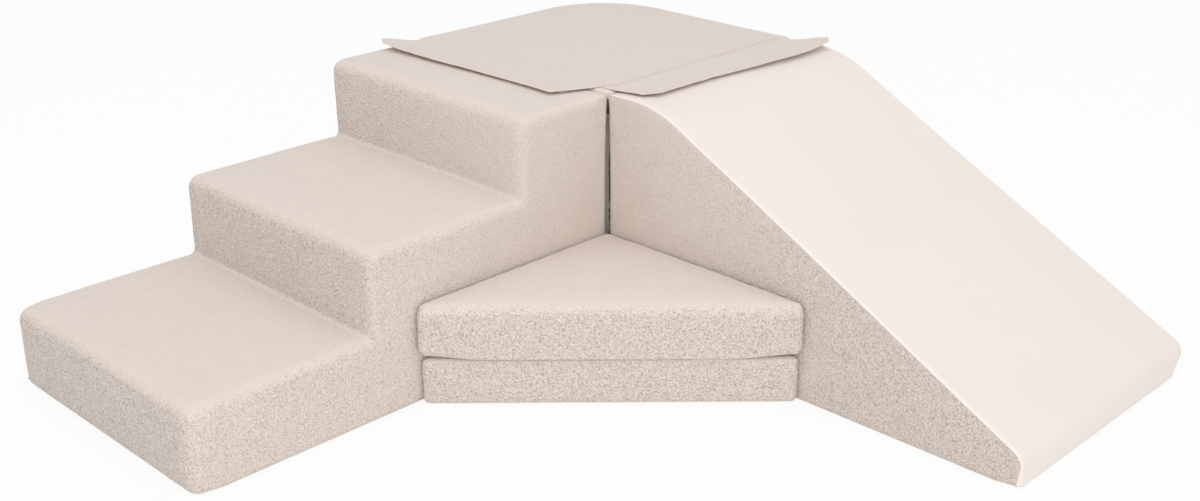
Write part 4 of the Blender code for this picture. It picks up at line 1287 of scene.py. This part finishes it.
class CLIMBER_OT_ramp(Operator):
    """Covers the ramp's sides and back, lays the slide panel over it and adds its core"""

    bl_idname = "climber.ramp"
    bl_label = "Ramp"

    def execute(self, context):
        forms = context.scene.climber_forms
        form = ramp_form()
        first_top = RAMP_ARC_STEPS + 2

        def slack(local):
            along, level, across = local.T
            free = smooth_step((along - RAMP_HELD_BACK) / SLACK_FADE) * off_floor(level)
            top = smooth_step(outline_depth(local[:, :2], form.loop)[2] / SLIDE_HELD_DEPTH)
            return held_by_mats(free * top, across < MAT_SIDE_BAND, along, level)

        def sink(snapped, inward, down, side, foot):
            """Sinks the ground under the slide panel, by a little more than the panel reaches."""
            on_top = (side >= first_top) & (side < len(form.loop) - RAMP_ARC_STEPS)
            at_high = snapped[:, 2] > np.mean(form.span)
            radius = form.rim(foot, at_high)
            seam = radius * (1 - math.cos(SLIDE_SEAM_ANGLE)) + SLIDE_SEAM_MARGIN
            amount = GROUND_SINK * smooth_step((seam - inward) / SLIDE_SEAM_FADE) * on_top
            return sunk(form, snapped, (inward, down), radius, at_high, amount)

        contacts = [((-1.0, 0.0, 0.0), 0, RAMP_LOW[0])]
        add_cover(form, "ramp_cover", "ramp", forms.voxel, forms.levels, slack, forms.swelling,
                  contacts, sink)
        add_slide_panel(form)
        add_foam(ramp_form(COVER_WALL), "ramp_foam_core", "ramp")
        return {"FINISHED"}


SLIDE_HELD_DEPTH = 0.03
SLIDE_SEAM_MARGIN = 0.0004
SLIDE_SEAM_FADE = 0.0016
SLIDE_SPACING = 0.0036
SLIDE_FLAT_COUNT = 54
SLIDE_RIM_COUNT = 10


def add_slide_panel(form):
    """The leatherette: the outline's top carried as a path, bent down round the rim on each side.

    A place on it is the path's point plus the way in times a depth. Across, the depth is zero in
    the middle and follows the rim's arc at the edge as far as the seam.
    """
    loop = form.loop
    normals = outline_normals(loop)
    start = RAMP_ARC_STEPS + 1 + RAMP_ARC_STEPS // 2
    path = np.column_stack([loop, normals])[start:len(loop) - 1]
    path = even_places(path, SLIDE_SPACING)
    feet, ways = path[:, :2], unit(path[:, 2:])
    low, high = form.span
    middle, half = (low + high) / 2, (high - low) / 2
    flat = np.linspace(0.0, 1.0, SLIDE_FLAT_COUNT)
    angle = np.linspace(0.0, SLIDE_SEAM_ANGLE, SLIDE_RIM_COUNT)[1:]
    lean_out = np.concatenate([0 * flat, np.sin(angle)])
    lean_up = np.concatenate([0 * flat + 1, np.cos(angle)])

    def half_sheet(at_high):
        """One half across: places from the middle, depths below the slide, and both leanings."""
        radius = form.rim(feet, np.full(len(feet), at_high))[:, None]
        inner = half - radius
        across = [flat * inner, inner + radius * np.sin(angle)]
        depth = [0 * flat * inner, radius * (1 - np.cos(angle))]
        return np.concatenate(across, axis=1), np.concatenate(depth, axis=1)

    near_across, near_depth = half_sheet(False)
    far_across, far_depth = half_sheet(True)
    across = np.concatenate([-near_across[:, :0:-1], far_across], axis=1)
    depth = np.concatenate([near_depth[:, :0:-1], far_depth], axis=1)
    out_across = np.concatenate([-lean_out[:0:-1], lean_out])
    out_up = np.concatenate([lean_up[:0:-1], lean_up])

    def layer(offset):
        fall = depth - offset * out_up
        plan = feet[:, None] + ways[:, None] * fall[..., None]
        width = middle + across + offset * out_across
        local = np.concatenate([plan, width[..., None]], axis=2)
        shaped = form.shape(local.reshape(-1, 3))
        return form.axes.world(shaped).reshape(*local.shape)

    mesh = closed_sheet(layer(PANEL_PROUD), layer(PANEL_PROUD - PANEL_THICKNESS))
    piece = add_piece(mesh, "ramp_slide_panel_piece", "ramp", "slide_leatherette",
                      ["ramp_slide_panel"])


class CLIMBER_OT_block(Operator):
    """Covers the corner block, lays its top panel and adds its core"""

    bl_idname = "climber.block"
    bl_label = "Corner block"

    def execute(self, context):
        forms = context.scene.climber_forms
        form = block_form()

        def slack(local):
            """Only the two outer sides swell, below the top's seam."""
            x, y, level = local.T
            back = smooth_step((y - BLOCK_WIDTH + BLOCK_FREE_BAND) / SLACK_FADE)
            outer = np.maximum(smooth_step((BLOCK_FREE_BAND - x) / SLACK_FADE), back)
            return outer * off_floor(level) * smooth_step((BLOCK_FREE_TOP - level) / SLACK_FADE)

        def sink(snapped, inward, down, side, foot):
            """Sinks the ground under the top panel."""
            at_high = snapped[:, 2] > np.mean(form.span)
            seam = TOP_SEAM + TOP_SEAM_MARGIN
            amount = GROUND_SINK * smooth_step((seam - down) / TOP_SEAM_FADE) * at_high
            return sunk(form, snapped, (inward, down), form.rim(foot, at_high), at_high, amount)

        contacts = [((0.0, -1.0, 0.0), 1, BLOCK_LOW[1]), ((1.0, 0.0, 0.0), 0, BLOCK_HIGH[0])]
        add_cover(form, "block_cover", "corner_block", BLOCK_VOXEL_SCALE * forms.voxel, forms.levels,
                  slack, forms.swelling, contacts, sink)
        add_top_panel(form)
        add_foam(block_form(COVER_WALL), "block_foam_core", "corner_block")
        return {"FINISHED"}


BLOCK_VOXEL_SCALE = 1.25
BLOCK_FREE_BAND = 0.1
BLOCK_FREE_TOP = 0.42
TOP_SEAM_MARGIN = 0.001
TOP_SEAM_FADE = 0.003
TOP_GRID_COUNT = 150


def corner_parts(places, half, corner):
    """For places of an even grid: where each is held, the way out from there, and how far out.

    A place is held to the rectangle between the centres of the corner arcs. What is left over
    keeps its way, and its larger part is its length, so the grid's corners become arcs.
    """
    limit = half - corner[:, None]
    held = np.clip(places, -limit, limit)
    over = places - held
    return held, unit(over), np.max(np.abs(over), axis=1)


def add_top_panel(form):
    """The smooth top of the block: a square grid bent down over the block's rim.

    Each quarter has its own corner radius. A place's way out from its hold points at the rim: up
    to the corner radius it lies on top, and beyond that it hangs down the side.
    """
    half = BLOCK_WIDTH / 2
    reach = half + TOP_SEAM
    line = np.linspace(-reach, reach, TOP_GRID_COUNT)
    first, second = np.meshgrid(line, line, indexing="ij")
    places = np.stack([first, second], axis=-1).reshape(-1, 2)
    inner = (places[:, 0] > 0) & (places[:, 1] < 0)
    outer = (places[:, 0] < 0) & (places[:, 1] > 0)
    corner = np.where(inner, INNER_CORNER_RADIUS, np.where(outer, BACK_CORNER_RADIUS, SIDE_RADIUS))
    held, away, measure = corner_parts(places, half, corner)
    on_top = np.minimum(measure, corner)
    hang = np.maximum(measure - corner, 0.0)
    foot = held + away * corner[:, None] + half
    depth = np.where(measure > 0, corner - on_top, 1.0)
    radius = block_rim(foot)
    inward, down = round_over(depth, hang, radius)
    top = form.span[1]

    def layer(offset):
        near = measure > 0
        plan = np.where(near[:, None], foot - away * inward[:, None], places + half)
        tilt_out = np.clip(1 - inward / radius, 0, 1) * near
        tilt_up = np.clip(1 - down / radius, 0, 1)
        scale = np.maximum(np.hypot(tilt_out, tilt_up), 1e-9)
        plan = plan + away * (offset * tilt_out / scale)[:, None]
        level = top - down + offset * tilt_up / scale
        shaped = form.shape(np.column_stack([plan, level]))
        return form.axes.world(shaped).reshape(*first.shape, 3)

    mesh = closed_sheet(layer(PANEL_PROUD), layer(PANEL_PROUD - PANEL_THICKNESS))
    piece = add_piece(mesh, "block_top_panel_piece", "corner_block", "smooth_cloth",
                      ["block_top_panel"])


class CLIMBER_OT_mats(Operator):
    """Covers the two triangular mats and adds their cores"""

    bl_idname = "climber.mats"
    bl_label = "Mats"

    def execute(self, context):
        for name in MAT_BOXES:
            add_mat(name, context.scene.climber_forms)
        return {"FINISHED"}


MAT_SLACK_FADE = 0.03
MAT_SLACK_FLOOR = 0.01
MAT_TOP_MARGIN, MAT_TOP_FADE = 0.005, 0.01


def add_mat(name, forms):
    """One mat: its cover, held at its back and where the mats meet, and its core."""
    upper = name == "upper_mat"
    held_from = math.inf if upper else MAT_THICKNESS[name] - MAT_TOP_MARGIN

    def slack(local):
        x, y, level = local.T
        inside = smooth_step(np.minimum(x, -y) / MAT_SLACK_FADE)
        height = smooth_step((level - MAT_SLACK_FLOOR) / MAT_SLACK_FADE)
        return inside * height * smooth_step((held_from - level) / MAT_TOP_FADE)

    low, high = MAT_BOXES[name]
    parting = ((0.0, 0.0, -1.0), 2, low[2]) if upper else ((0.0, 0.0, 1.0), 2, high[2])
    contacts = [((-1.0, 0.0, 0.0), 0, low[0]), ((0.0, 1.0, 0.0), 1, high[1]), parting]
    add_cover(mat_form(name), name + "_cover", name, forms.mat_voxel, forms.levels, slack,
              forms.swelling, contacts, deep=True)
    add_foam(mat_form(name, COVER_WALL), name + "_foam_core", name)


class CLIMBER_OT_bases(Operator):
    """Lays the non-slip base panels under the modules and the mats"""

    bl_idname = "climber.bases"
    bl_label = "Base panels"

    def execute(self, context):
        add_base("block", "corner_block")
        for name in ("stairs", "ramp", "lower_mat", "upper_mat"):
            add_base(name, name)
        return {"FINISHED"}


BASE_CORNER_RADIUS = 0.016
BASE_GRID_COUNT = 34
BASE_TIP = 0.008
BASE_TIP_MOST_SHARE = 0.05


def share_grid(first_count, second_count):
    """Two grids of shares from 0 to 1, the first along the rows and the second across them."""
    return np.meshgrid(np.linspace(0, 1, first_count), np.linspace(0, 1, second_count), indexing="ij")


def add_base(name, body):
    """A base panel: a flat grid between the node's corners, pinched to a corner on the mats."""
    low, high = node_box(name + "_base_panel")
    first, second = share_grid(BASE_GRID_COUNT, BASE_GRID_COUNT)
    mat = name.endswith("mat")
    if mat:
        tip = np.minimum(BASE_TIP / (high[0] - low[0]), BASE_TIP_MOST_SHARE)
        start = tip / 2
        run = first * (1 - 3 * tip)
        reach = 1 - start - run - 3 * start
        x = low[0] + (high[0] - low[0]) * (start + run)
        y = high[1] - (high[1] - low[1]) * (start + second * np.maximum(reach, tip))
    else:
        half = (high - low)[:2] / 2
        places = np.stack([2 * first - 1, 2 * second - 1], axis=-1).reshape(-1, 2) * half
        back_radius = BACK_CORNER_RADIUS - (BLOCK_HIGH[0] - high[0])
        at_back = (places[:, 0] < 0) & (places[:, 1] > 0) & (name == "block")
        corner = np.where(at_back, back_radius, BASE_CORNER_RADIUS)
        held, away, measure = corner_parts(places, half, corner)
        places = held + away * measure[:, None] + (low + high)[:2] / 2
        x, y = places.reshape(*first.shape, 2).transpose(2, 0, 1)
    bottom = np.stack([x, y, np.full_like(x, low[2])], axis=-1)
    top = bottom + np.array([0.0, 0.0, PANEL_THICKNESS])
    mesh = closed_sheet(top, bottom)
    piece = add_piece(mesh, name + "_base_panel_piece", body, "non_slip_cloth",
                      [name + "_base_panel"])
    width, length = float(high[0] - low[0]), float(high[1] - low[1])
    area = width * length * (0.5 if mat else 1.0)
    if name == "block":
        area -= (1 - math.pi / 4) * back_radius ** 2


class CLIMBER_OT_flaps(Operator):
    """Lays the two flaps, their sewn bands and their stitches"""

    bl_idname = "climber.flaps"
    bl_label = "Flaps"

    def execute(self, context):
        add_flap("stairs_flap", over_stairs, stair_rise, STAIRS_FLAP_CUT, 3)
        add_flap("ramp_flap", over_ramp, ramp_rise, RAMP_FLAP_CUT, 8)
        return {"FINISHED"}


CORNER = np.array([BLOCK_HIGH[0], BLOCK_LOW[1]])
FLAP_SEW_INSET = 0.022
FLAP_REACH = 0.078
FLAP_DEPTH = FLAP_SEW_INSET + FLAP_REACH
FLAP_LEVEL = 0.4533
FLAP_THICKNESS = 0.0025
FLAP_CLOTH = 0.0017
FLAP_FAR_INSET = 0.034
FLAP_FLARE = 0.042
FLAP_CURL = 0.009
FLAP_CURL_START = 0.76
FLAP_NEAR_FADE, FLAP_STEP_FADE = 0.05, 0.3
FLAP_FLARE_START, FLAP_FLARE_FADE = 0.25, 0.6
FLAP_TIP_CUT, FLAP_TIP_START, FLAP_TIP_FADE = 0.024, 0.82, 0.18
FLAP_WAVE_SIZE, FLAP_RIPPLE_SIZE = 0.07, 0.025
FLAP_WAVE_LIFT, FLAP_RIPPLE_LIFT = 0.0016, 0.0006
FLAP_WAVE_BIAS = 0.6
FLAP_WAVE_DRIFT = 0.0018
FLAP_GRID = 210, 48
HEM_WIDTH = 0.014
HEM_STEP = 0.0004
HEM_FADE = 0.002
HEM_SOFTENING = 0.0008
STITCH_PITCH, STITCH_LENGTH, THREAD_RADIUS = 0.0046, 0.0034, 0.0007
STITCH_END_INSET = 0.006
HEM_STITCH_INSET = 0.0105
HINGE_STITCH_ROWS = 0.0035, 0.0100
BAND_GRID = 160, 18
BAND_NEAR = 0.036
BAND_WIDTH, BAND_GAP = 0.009, 0.0003
BAND_THICKNESS, BAND_RIDGE, BAND_RIDGE_POWER = 0.0012, 0.0012, 0.7
BAND_WAVE_HEIGHT, BAND_WAVE_SIZE, BAND_WAVE_SEED = 0.0003, 0.03, 4


class FlapCut:
    """The cut of one flap: where its near end starts and leans, and how far it reaches out.

    The reach grows in two soft steps, one beside the near end and one along the free edge.
    """

    def __init__(self, near, lean, reach, near_step, step, rise_from):
        self.near = near
        self.lean = lean
        self.reach = reach
        self.near_step = near_step
        self.step = step
        self.rise_from = rise_from

    def depth(self, u):
        first = self.near_step * smooth_step((u - self.near) / FLAP_NEAR_FADE)
        second = self.step * smooth_step((u - self.rise_from) / FLAP_STEP_FADE)
        return self.reach + first + second

    def near_end(self, share):
        return self.near + self.lean * share

    def far_end(self, share):
        """Straight over the block, flared out to a tip, and cut back past it."""
        flare = FLAP_FLARE * smooth_step((share - FLAP_FLARE_START) / FLAP_FLARE_FADE)
        cut = FLAP_TIP_CUT * smooth_step((share - FLAP_TIP_START) / FLAP_TIP_FADE)
        return BLOCK_WIDTH - FLAP_FAR_INSET + flare - cut


STAIRS_FLAP_CUT = FlapCut(0.0290, 0.036, 0.098, 0.006, 0.009, 0.08)
RAMP_FLAP_CUT = FlapCut(0.0140, 0.008, 0.086, 0.013, 0.018, 0.16)


def over_stairs(u, v):
    """World place of a flap's own place: along the hinge, then out from it, over the stairs."""
    return CORNER[0] - u, CORNER[1] + FLAP_SEW_INSET - v


def over_ramp(u, v):
    """The same for the flap over the ramp."""
    return CORNER[0] - FLAP_SEW_INSET + v, CORNER[1] + u


def stair_rise(u, v):
    """How high the top tread stands under a place on the flap."""
    across = swell((STAIRS_WIDTH - u) / STAIRS_WIDTH)
    return TREAD_CROWN * swell((v - FLAP_SEW_INSET) / stair_edges()[1]) * across


def ramp_rise(u, v):
    """How high the ramp's landing stands under a place on the flap."""
    along = v - FLAP_SEW_INSET
    crown = SLIDE_CROWN * swell(along / RAMP_LENGTH) * swell(u / RAMP_WIDTH)
    return crown + landing_puff(along, u)


def flat_noise(u, v, size, seed):
    """Soft noise over a grid of flat places."""
    return soft_noise(np.stack([u, v, 0 * u], axis=-1).reshape(-1, 3), size, seed).reshape(u.shape)


def flap_surface(u, v, over, rise, seed):
    """The flap's upper face: the module's crown, a curled far end, and soft waves at its edge."""
    out = np.clip(v / FLAP_DEPTH, 0, 1.2)
    far = np.clip((u / BLOCK_WIDTH - FLAP_CURL_START) / (1 - FLAP_CURL_START), 0, 1)
    wave = flat_noise(u, v, FLAP_WAVE_SIZE, seed)
    ripple = flat_noise(u, v, FLAP_RIPPLE_SIZE, seed + 1)
    waves = FLAP_WAVE_LIFT * (wave + FLAP_WAVE_BIAS) + FLAP_RIPPLE_LIFT * ripple
    lift = FLAP_CURL * far ** 2 * out + waves * out ** 2
    x, y = over(u, v + FLAP_WAVE_DRIFT * wave * out ** 2)
    level = FLAP_LEVEL + FLAP_THICKNESS + rise(u, v) + np.maximum(lift, 0.0)
    return np.stack([x, y, level], axis=-1)


def add_flap(name, over, rise, cut, seed):
    """One flap: a tapered grid with a hem fold along its free edge, and its band and stitches."""
    share_u, share_v = share_grid(*FLAP_GRID)
    start, end = cut.near_end(share_v), cut.far_end(share_v)
    u = start + (end - start) * share_u
    depth = cut.depth(u)
    v = depth * share_v
    top = flap_surface(u, v, over, rise, seed)
    hem = HEM_STEP * smooth_step((v - depth + HEM_WIDTH) / HEM_FADE)
    edge = np.minimum(np.minimum(share_u, 1 - share_u) * (end - start), depth - v)
    soften = HEM_SOFTENING * (1 - smooth_step(edge / HEM_FADE))
    top[..., 2] += hem - 0.6 * soften
    bottom = top.copy()
    bottom[..., 2] -= FLAP_CLOTH + hem - soften
    mesh = closed_sheet(top, bottom)
    piece = add_piece(mesh, name + "_piece", name, "smooth_cloth", [name])
    thread = add_flap_stitches(name, over, rise, cut, seed)
    band = add_sewn_band(name, over, cut)


def add_flap_stitches(name, over, rise, cut, seed):
    """A row of stitches along the hem, and on the ramp's flap two beside the hinge."""
    first_u = cut.near_end(1.0) + STITCH_END_INSET
    last_u = float(cut.far_end(0.0)) - STITCH_END_INSET
    u = np.arange(first_u, last_u - STITCH_LENGTH, STITCH_PITCH)[None]
    rows = [[cut.depth(at) - HEM_STITCH_INSET for at in (u, u + STITCH_LENGTH)]]
    if over is over_ramp:
        rows += [[np.full_like(u, v)] * 2 for v in HINGE_STITCH_ROWS]
    starts, ends = [], []
    for v_first, v_last in rows:
        starts.append(flap_surface(u, v_first, over, rise, seed)[0])
        ends.append(flap_surface(u + STITCH_LENGTH, v_last, over, rise, seed)[0])
    starts, ends = np.concatenate(starts), np.concatenate(ends)
    lifts = np.tile([0.0, 0.0, 1.0], (len(starts), 1))
    mesh = stitches(starts, ends, lifts, THREAD_RADIUS)
    return add_piece(mesh, name + "_stitching", name, "thread")


def add_sewn_band(name, over, cut):
    """The band that holds a flap to the block: a low double ridge beside the hinge."""
    share_u, share_v = share_grid(*BAND_GRID)
    u = BAND_NEAR + (float(cut.far_end(0.0)) - BAND_NEAR) * share_u
    v = -BAND_WIDTH + (BAND_WIDTH - BAND_GAP) * share_v
    x, y = over(u, v)
    ridge = BAND_RIDGE * np.abs(np.sin(2 * math.pi * share_v)) ** BAND_RIDGE_POWER
    wave = BAND_WAVE_HEIGHT * flat_noise(u, v, BAND_WAVE_SIZE, BAND_WAVE_SEED)
    level = FLAP_LEVEL + BAND_THICKNESS + ridge + wave
    top = np.stack([x, y, level], axis=-1)
    bottom = np.stack([x, y, np.full_like(x, FLAP_LEVEL)], axis=-1)
    mesh = closed_sheet(top, bottom)
    return add_piece(mesh, name + "_sewn_strip_piece", "corner_block", "smooth_cloth",
                     [name + "_sewn_strip"])


class CLIMBER_OT_trim(Operator):
    """Dresses the zips, the sliders and the hook-and-loop strips"""

    bl_idname = "climber.trim"
    bl_label = "Zips and strips"

    def execute(self, context):
        for name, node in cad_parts.items():
            if name.endswith("_zip"):
                dress(node, "zip_nylon")
            elif name.endswith("_zip_slider"):
                dress(node, "slider_metal")
            elif name.endswith(("_hook_strip", "_loop_strip")):
                dress(node, "strip_nylon")
        return {"FINISHED"}


def dress(node, name):
    if node.material_slots:
        for slot in node.material_slots:
            slot.material = finish(name)
    else:
        node.data.materials.append(finish(name))


# Each lamp: its place, its target, its size, and its share of the lamps' power
LAMPS = {
    "overhead": ((0.3, -0.3, 3.2), (0.0, 0.0, 0.0), 3.6, 1.0),
    "front": ((2.8, -2.55, 1.9), (0.0, 0.0, 0.2), 2.4, 2.1),
}


class CLIMBER_OT_stage(Operator):
    """Sets the floor, the light and the camera"""

    bl_idname = "climber.stage"
    bl_label = "Stage"

    def execute(self, context):
        settings = context.scene.climber_stage
        add_floor(settings.floor_size)
        add_world(settings.sky)
        for name, (place, target, size, share) in LAMPS.items():
            add_lamp(name, place, target, size, share * settings.lamp_power)
        add_camera()
        context.scene.view_settings.view_transform = "Standard"
        return {"FINISHED"}


def white_for_the_camera(tree, shader, share):
    """A shader mixed with plain white where the camera or a reflection looks straight at it."""
    path = tree.nodes.new("ShaderNodeLightPath")
    seen = tree.nodes.new("ShaderNodeMath")
    seen.operation = "MAXIMUM"
    tree.links.new(path.outputs["Is Camera Ray"], seen.inputs[0])
    tree.links.new(path.outputs["Is Glossy Ray"], seen.inputs[1])
    part = tree.nodes.new("ShaderNodeMath")
    part.operation = "MULTIPLY"
    tree.links.new(seen.outputs[0], part.inputs[0])
    part.inputs[1].default_value = share
    white = tree.nodes.new("ShaderNodeEmission")
    white.inputs["Color"].default_value = (1.0, 1.0, 1.0, 1.0)
    white.inputs["Strength"].default_value = 1.0
    mixed = tree.nodes.new("ShaderNodeMixShader")
    tree.links.new(part.outputs[0], mixed.inputs[0])
    tree.links.new(shader, mixed.inputs[1])
    tree.links.new(white.outputs[0], mixed.inputs[2])
    return mixed.outputs[0]


def add_floor(size):
    half = size / 2
    corners = [(-half, -half, 0.0), (half, -half, 0.0), (half, half, 0.0), (-half, half, 0.0)]
    mesh = bpy.data.meshes.new("floor")
    mesh.from_pydata(corners, [], [(0, 1, 2, 3)])
    floor = place_object(mesh, "floor")
    material = bpy.data.materials.new("studio_floor")
    material.use_nodes = True
    tree = material.node_tree
    shader = tree.nodes["Principled BSDF"]
    shader.inputs["Base Color"].default_value = (0.92, 0.92, 0.92, 1.0)
    shader.inputs["Roughness"].default_value = 0.9
    shader.inputs["Specular IOR Level"].default_value = 0.1
    output = tree.nodes["Material Output"]
    mixed = white_for_the_camera(tree, shader.outputs[0], 0.9)
    tree.links.new(mixed, output.inputs["Surface"])
    mesh.materials.append(material)


def add_world(strength):
    world = bpy.data.worlds.new("studio_light")
    bpy.context.scene.world = world
    world.use_nodes = True
    tree = world.node_tree
    light = tree.nodes["Background"]
    light.inputs["Color"].default_value = (1.0, 0.985, 0.97, 1.0)
    light.inputs["Strength"].default_value = strength
    output = tree.nodes["World Output"]
    white = tree.nodes.new("ShaderNodeBackground")
    white.inputs["Color"].default_value = (1.0, 1.0, 1.0, 1.0)
    path = tree.nodes.new("ShaderNodeLightPath")
    mixed = tree.nodes.new("ShaderNodeMixShader")
    tree.links.new(path.outputs["Is Camera Ray"], mixed.inputs[0])
    tree.links.new(light.outputs[0], mixed.inputs[1])
    tree.links.new(white.outputs[0], mixed.inputs[2])
    tree.links.new(mixed.outputs[0], output.inputs["Surface"])


def add_lamp(name, place, target, size, power):
    """A square softbox that looks at its target."""
    lamp = bpy.data.lights.new(name, "AREA")
    lamp.shape = "SQUARE"
    lamp.size = size
    lamp.energy = power
    holder = bpy.data.objects.new(name, lamp)
    bpy.context.scene.collection.objects.link(holder)
    holder.location = place
    holder.rotation_euler = (Vector(target) - Vector(place)).to_track_quat("-Z", "Y").to_euler()


def add_camera():
    """The camera, by its fitted place, heading from +X and pitch below level."""
    camera = bpy.data.cameras.new("camera")
    camera.sensor_width = 36.0
    camera.lens = CAMERA_LENS
    holder = bpy.data.objects.new("camera", camera)
    bpy.context.scene.collection.objects.link(holder)
    holder.location = CAMERA_PLACE
    holder.rotation_euler = Euler((math.pi / 2 - CAMERA_PITCH, 0.0, CAMERA_HEADING - math.pi / 2))
    bpy.context.scene.camera = holder


STEPS = ("stairs", "ramp", "block", "mats", "bases", "flaps", "trim", "stage")


class CLIMBER_PT_workshop(Panel):
    """Lists the climber's pieces and their settings"""

    bl_idname = "CLIMBER_PT_workshop"
    bl_label = "Foam climber"
    bl_space_type = "VIEW_3D"
    bl_region_type = "UI"
    bl_category = "Climber"

    def draw(self, context):
        layout = self.layout
        for step in STEPS:
            layout.operator("climber." + step)
        for group in ("climber_cloth", "climber_forms", "climber_stage"):
            settings = getattr(context.scene, group)
            box = layout.box()
            for key in settings.__annotations__:
                box.prop(settings, key)


CLASSES = (
    ClimberCloth,
    ClimberForms,
    ClimberStage,
    CLIMBER_OT_stairs,
    CLIMBER_OT_ramp,
    CLIMBER_OT_block,
    CLIMBER_OT_mats,
    CLIMBER_OT_bases,
    CLIMBER_OT_flaps,
    CLIMBER_OT_trim,
    CLIMBER_OT_stage,
    CLIMBER_PT_workshop,
)


def register():
    for item in CLASSES:
        bpy.utils.register_class(item)
    bpy.types.Scene.climber_cloth = PointerProperty(type=ClimberCloth)
    bpy.types.Scene.climber_forms = PointerProperty(type=ClimberForms)
    bpy.types.Scene.climber_stage = PointerProperty(type=ClimberStage)


def unregister():
    del bpy.types.Scene.climber_stage
    del bpy.types.Scene.climber_forms
    del bpy.types.Scene.climber_cloth
    for item in reversed(CLASSES):
        bpy.utils.unregister_class(item)


def main():
    register()
    for step in STEPS:
        getattr(bpy.ops.climber, step)()


if __name__ == "__main__":
    main()
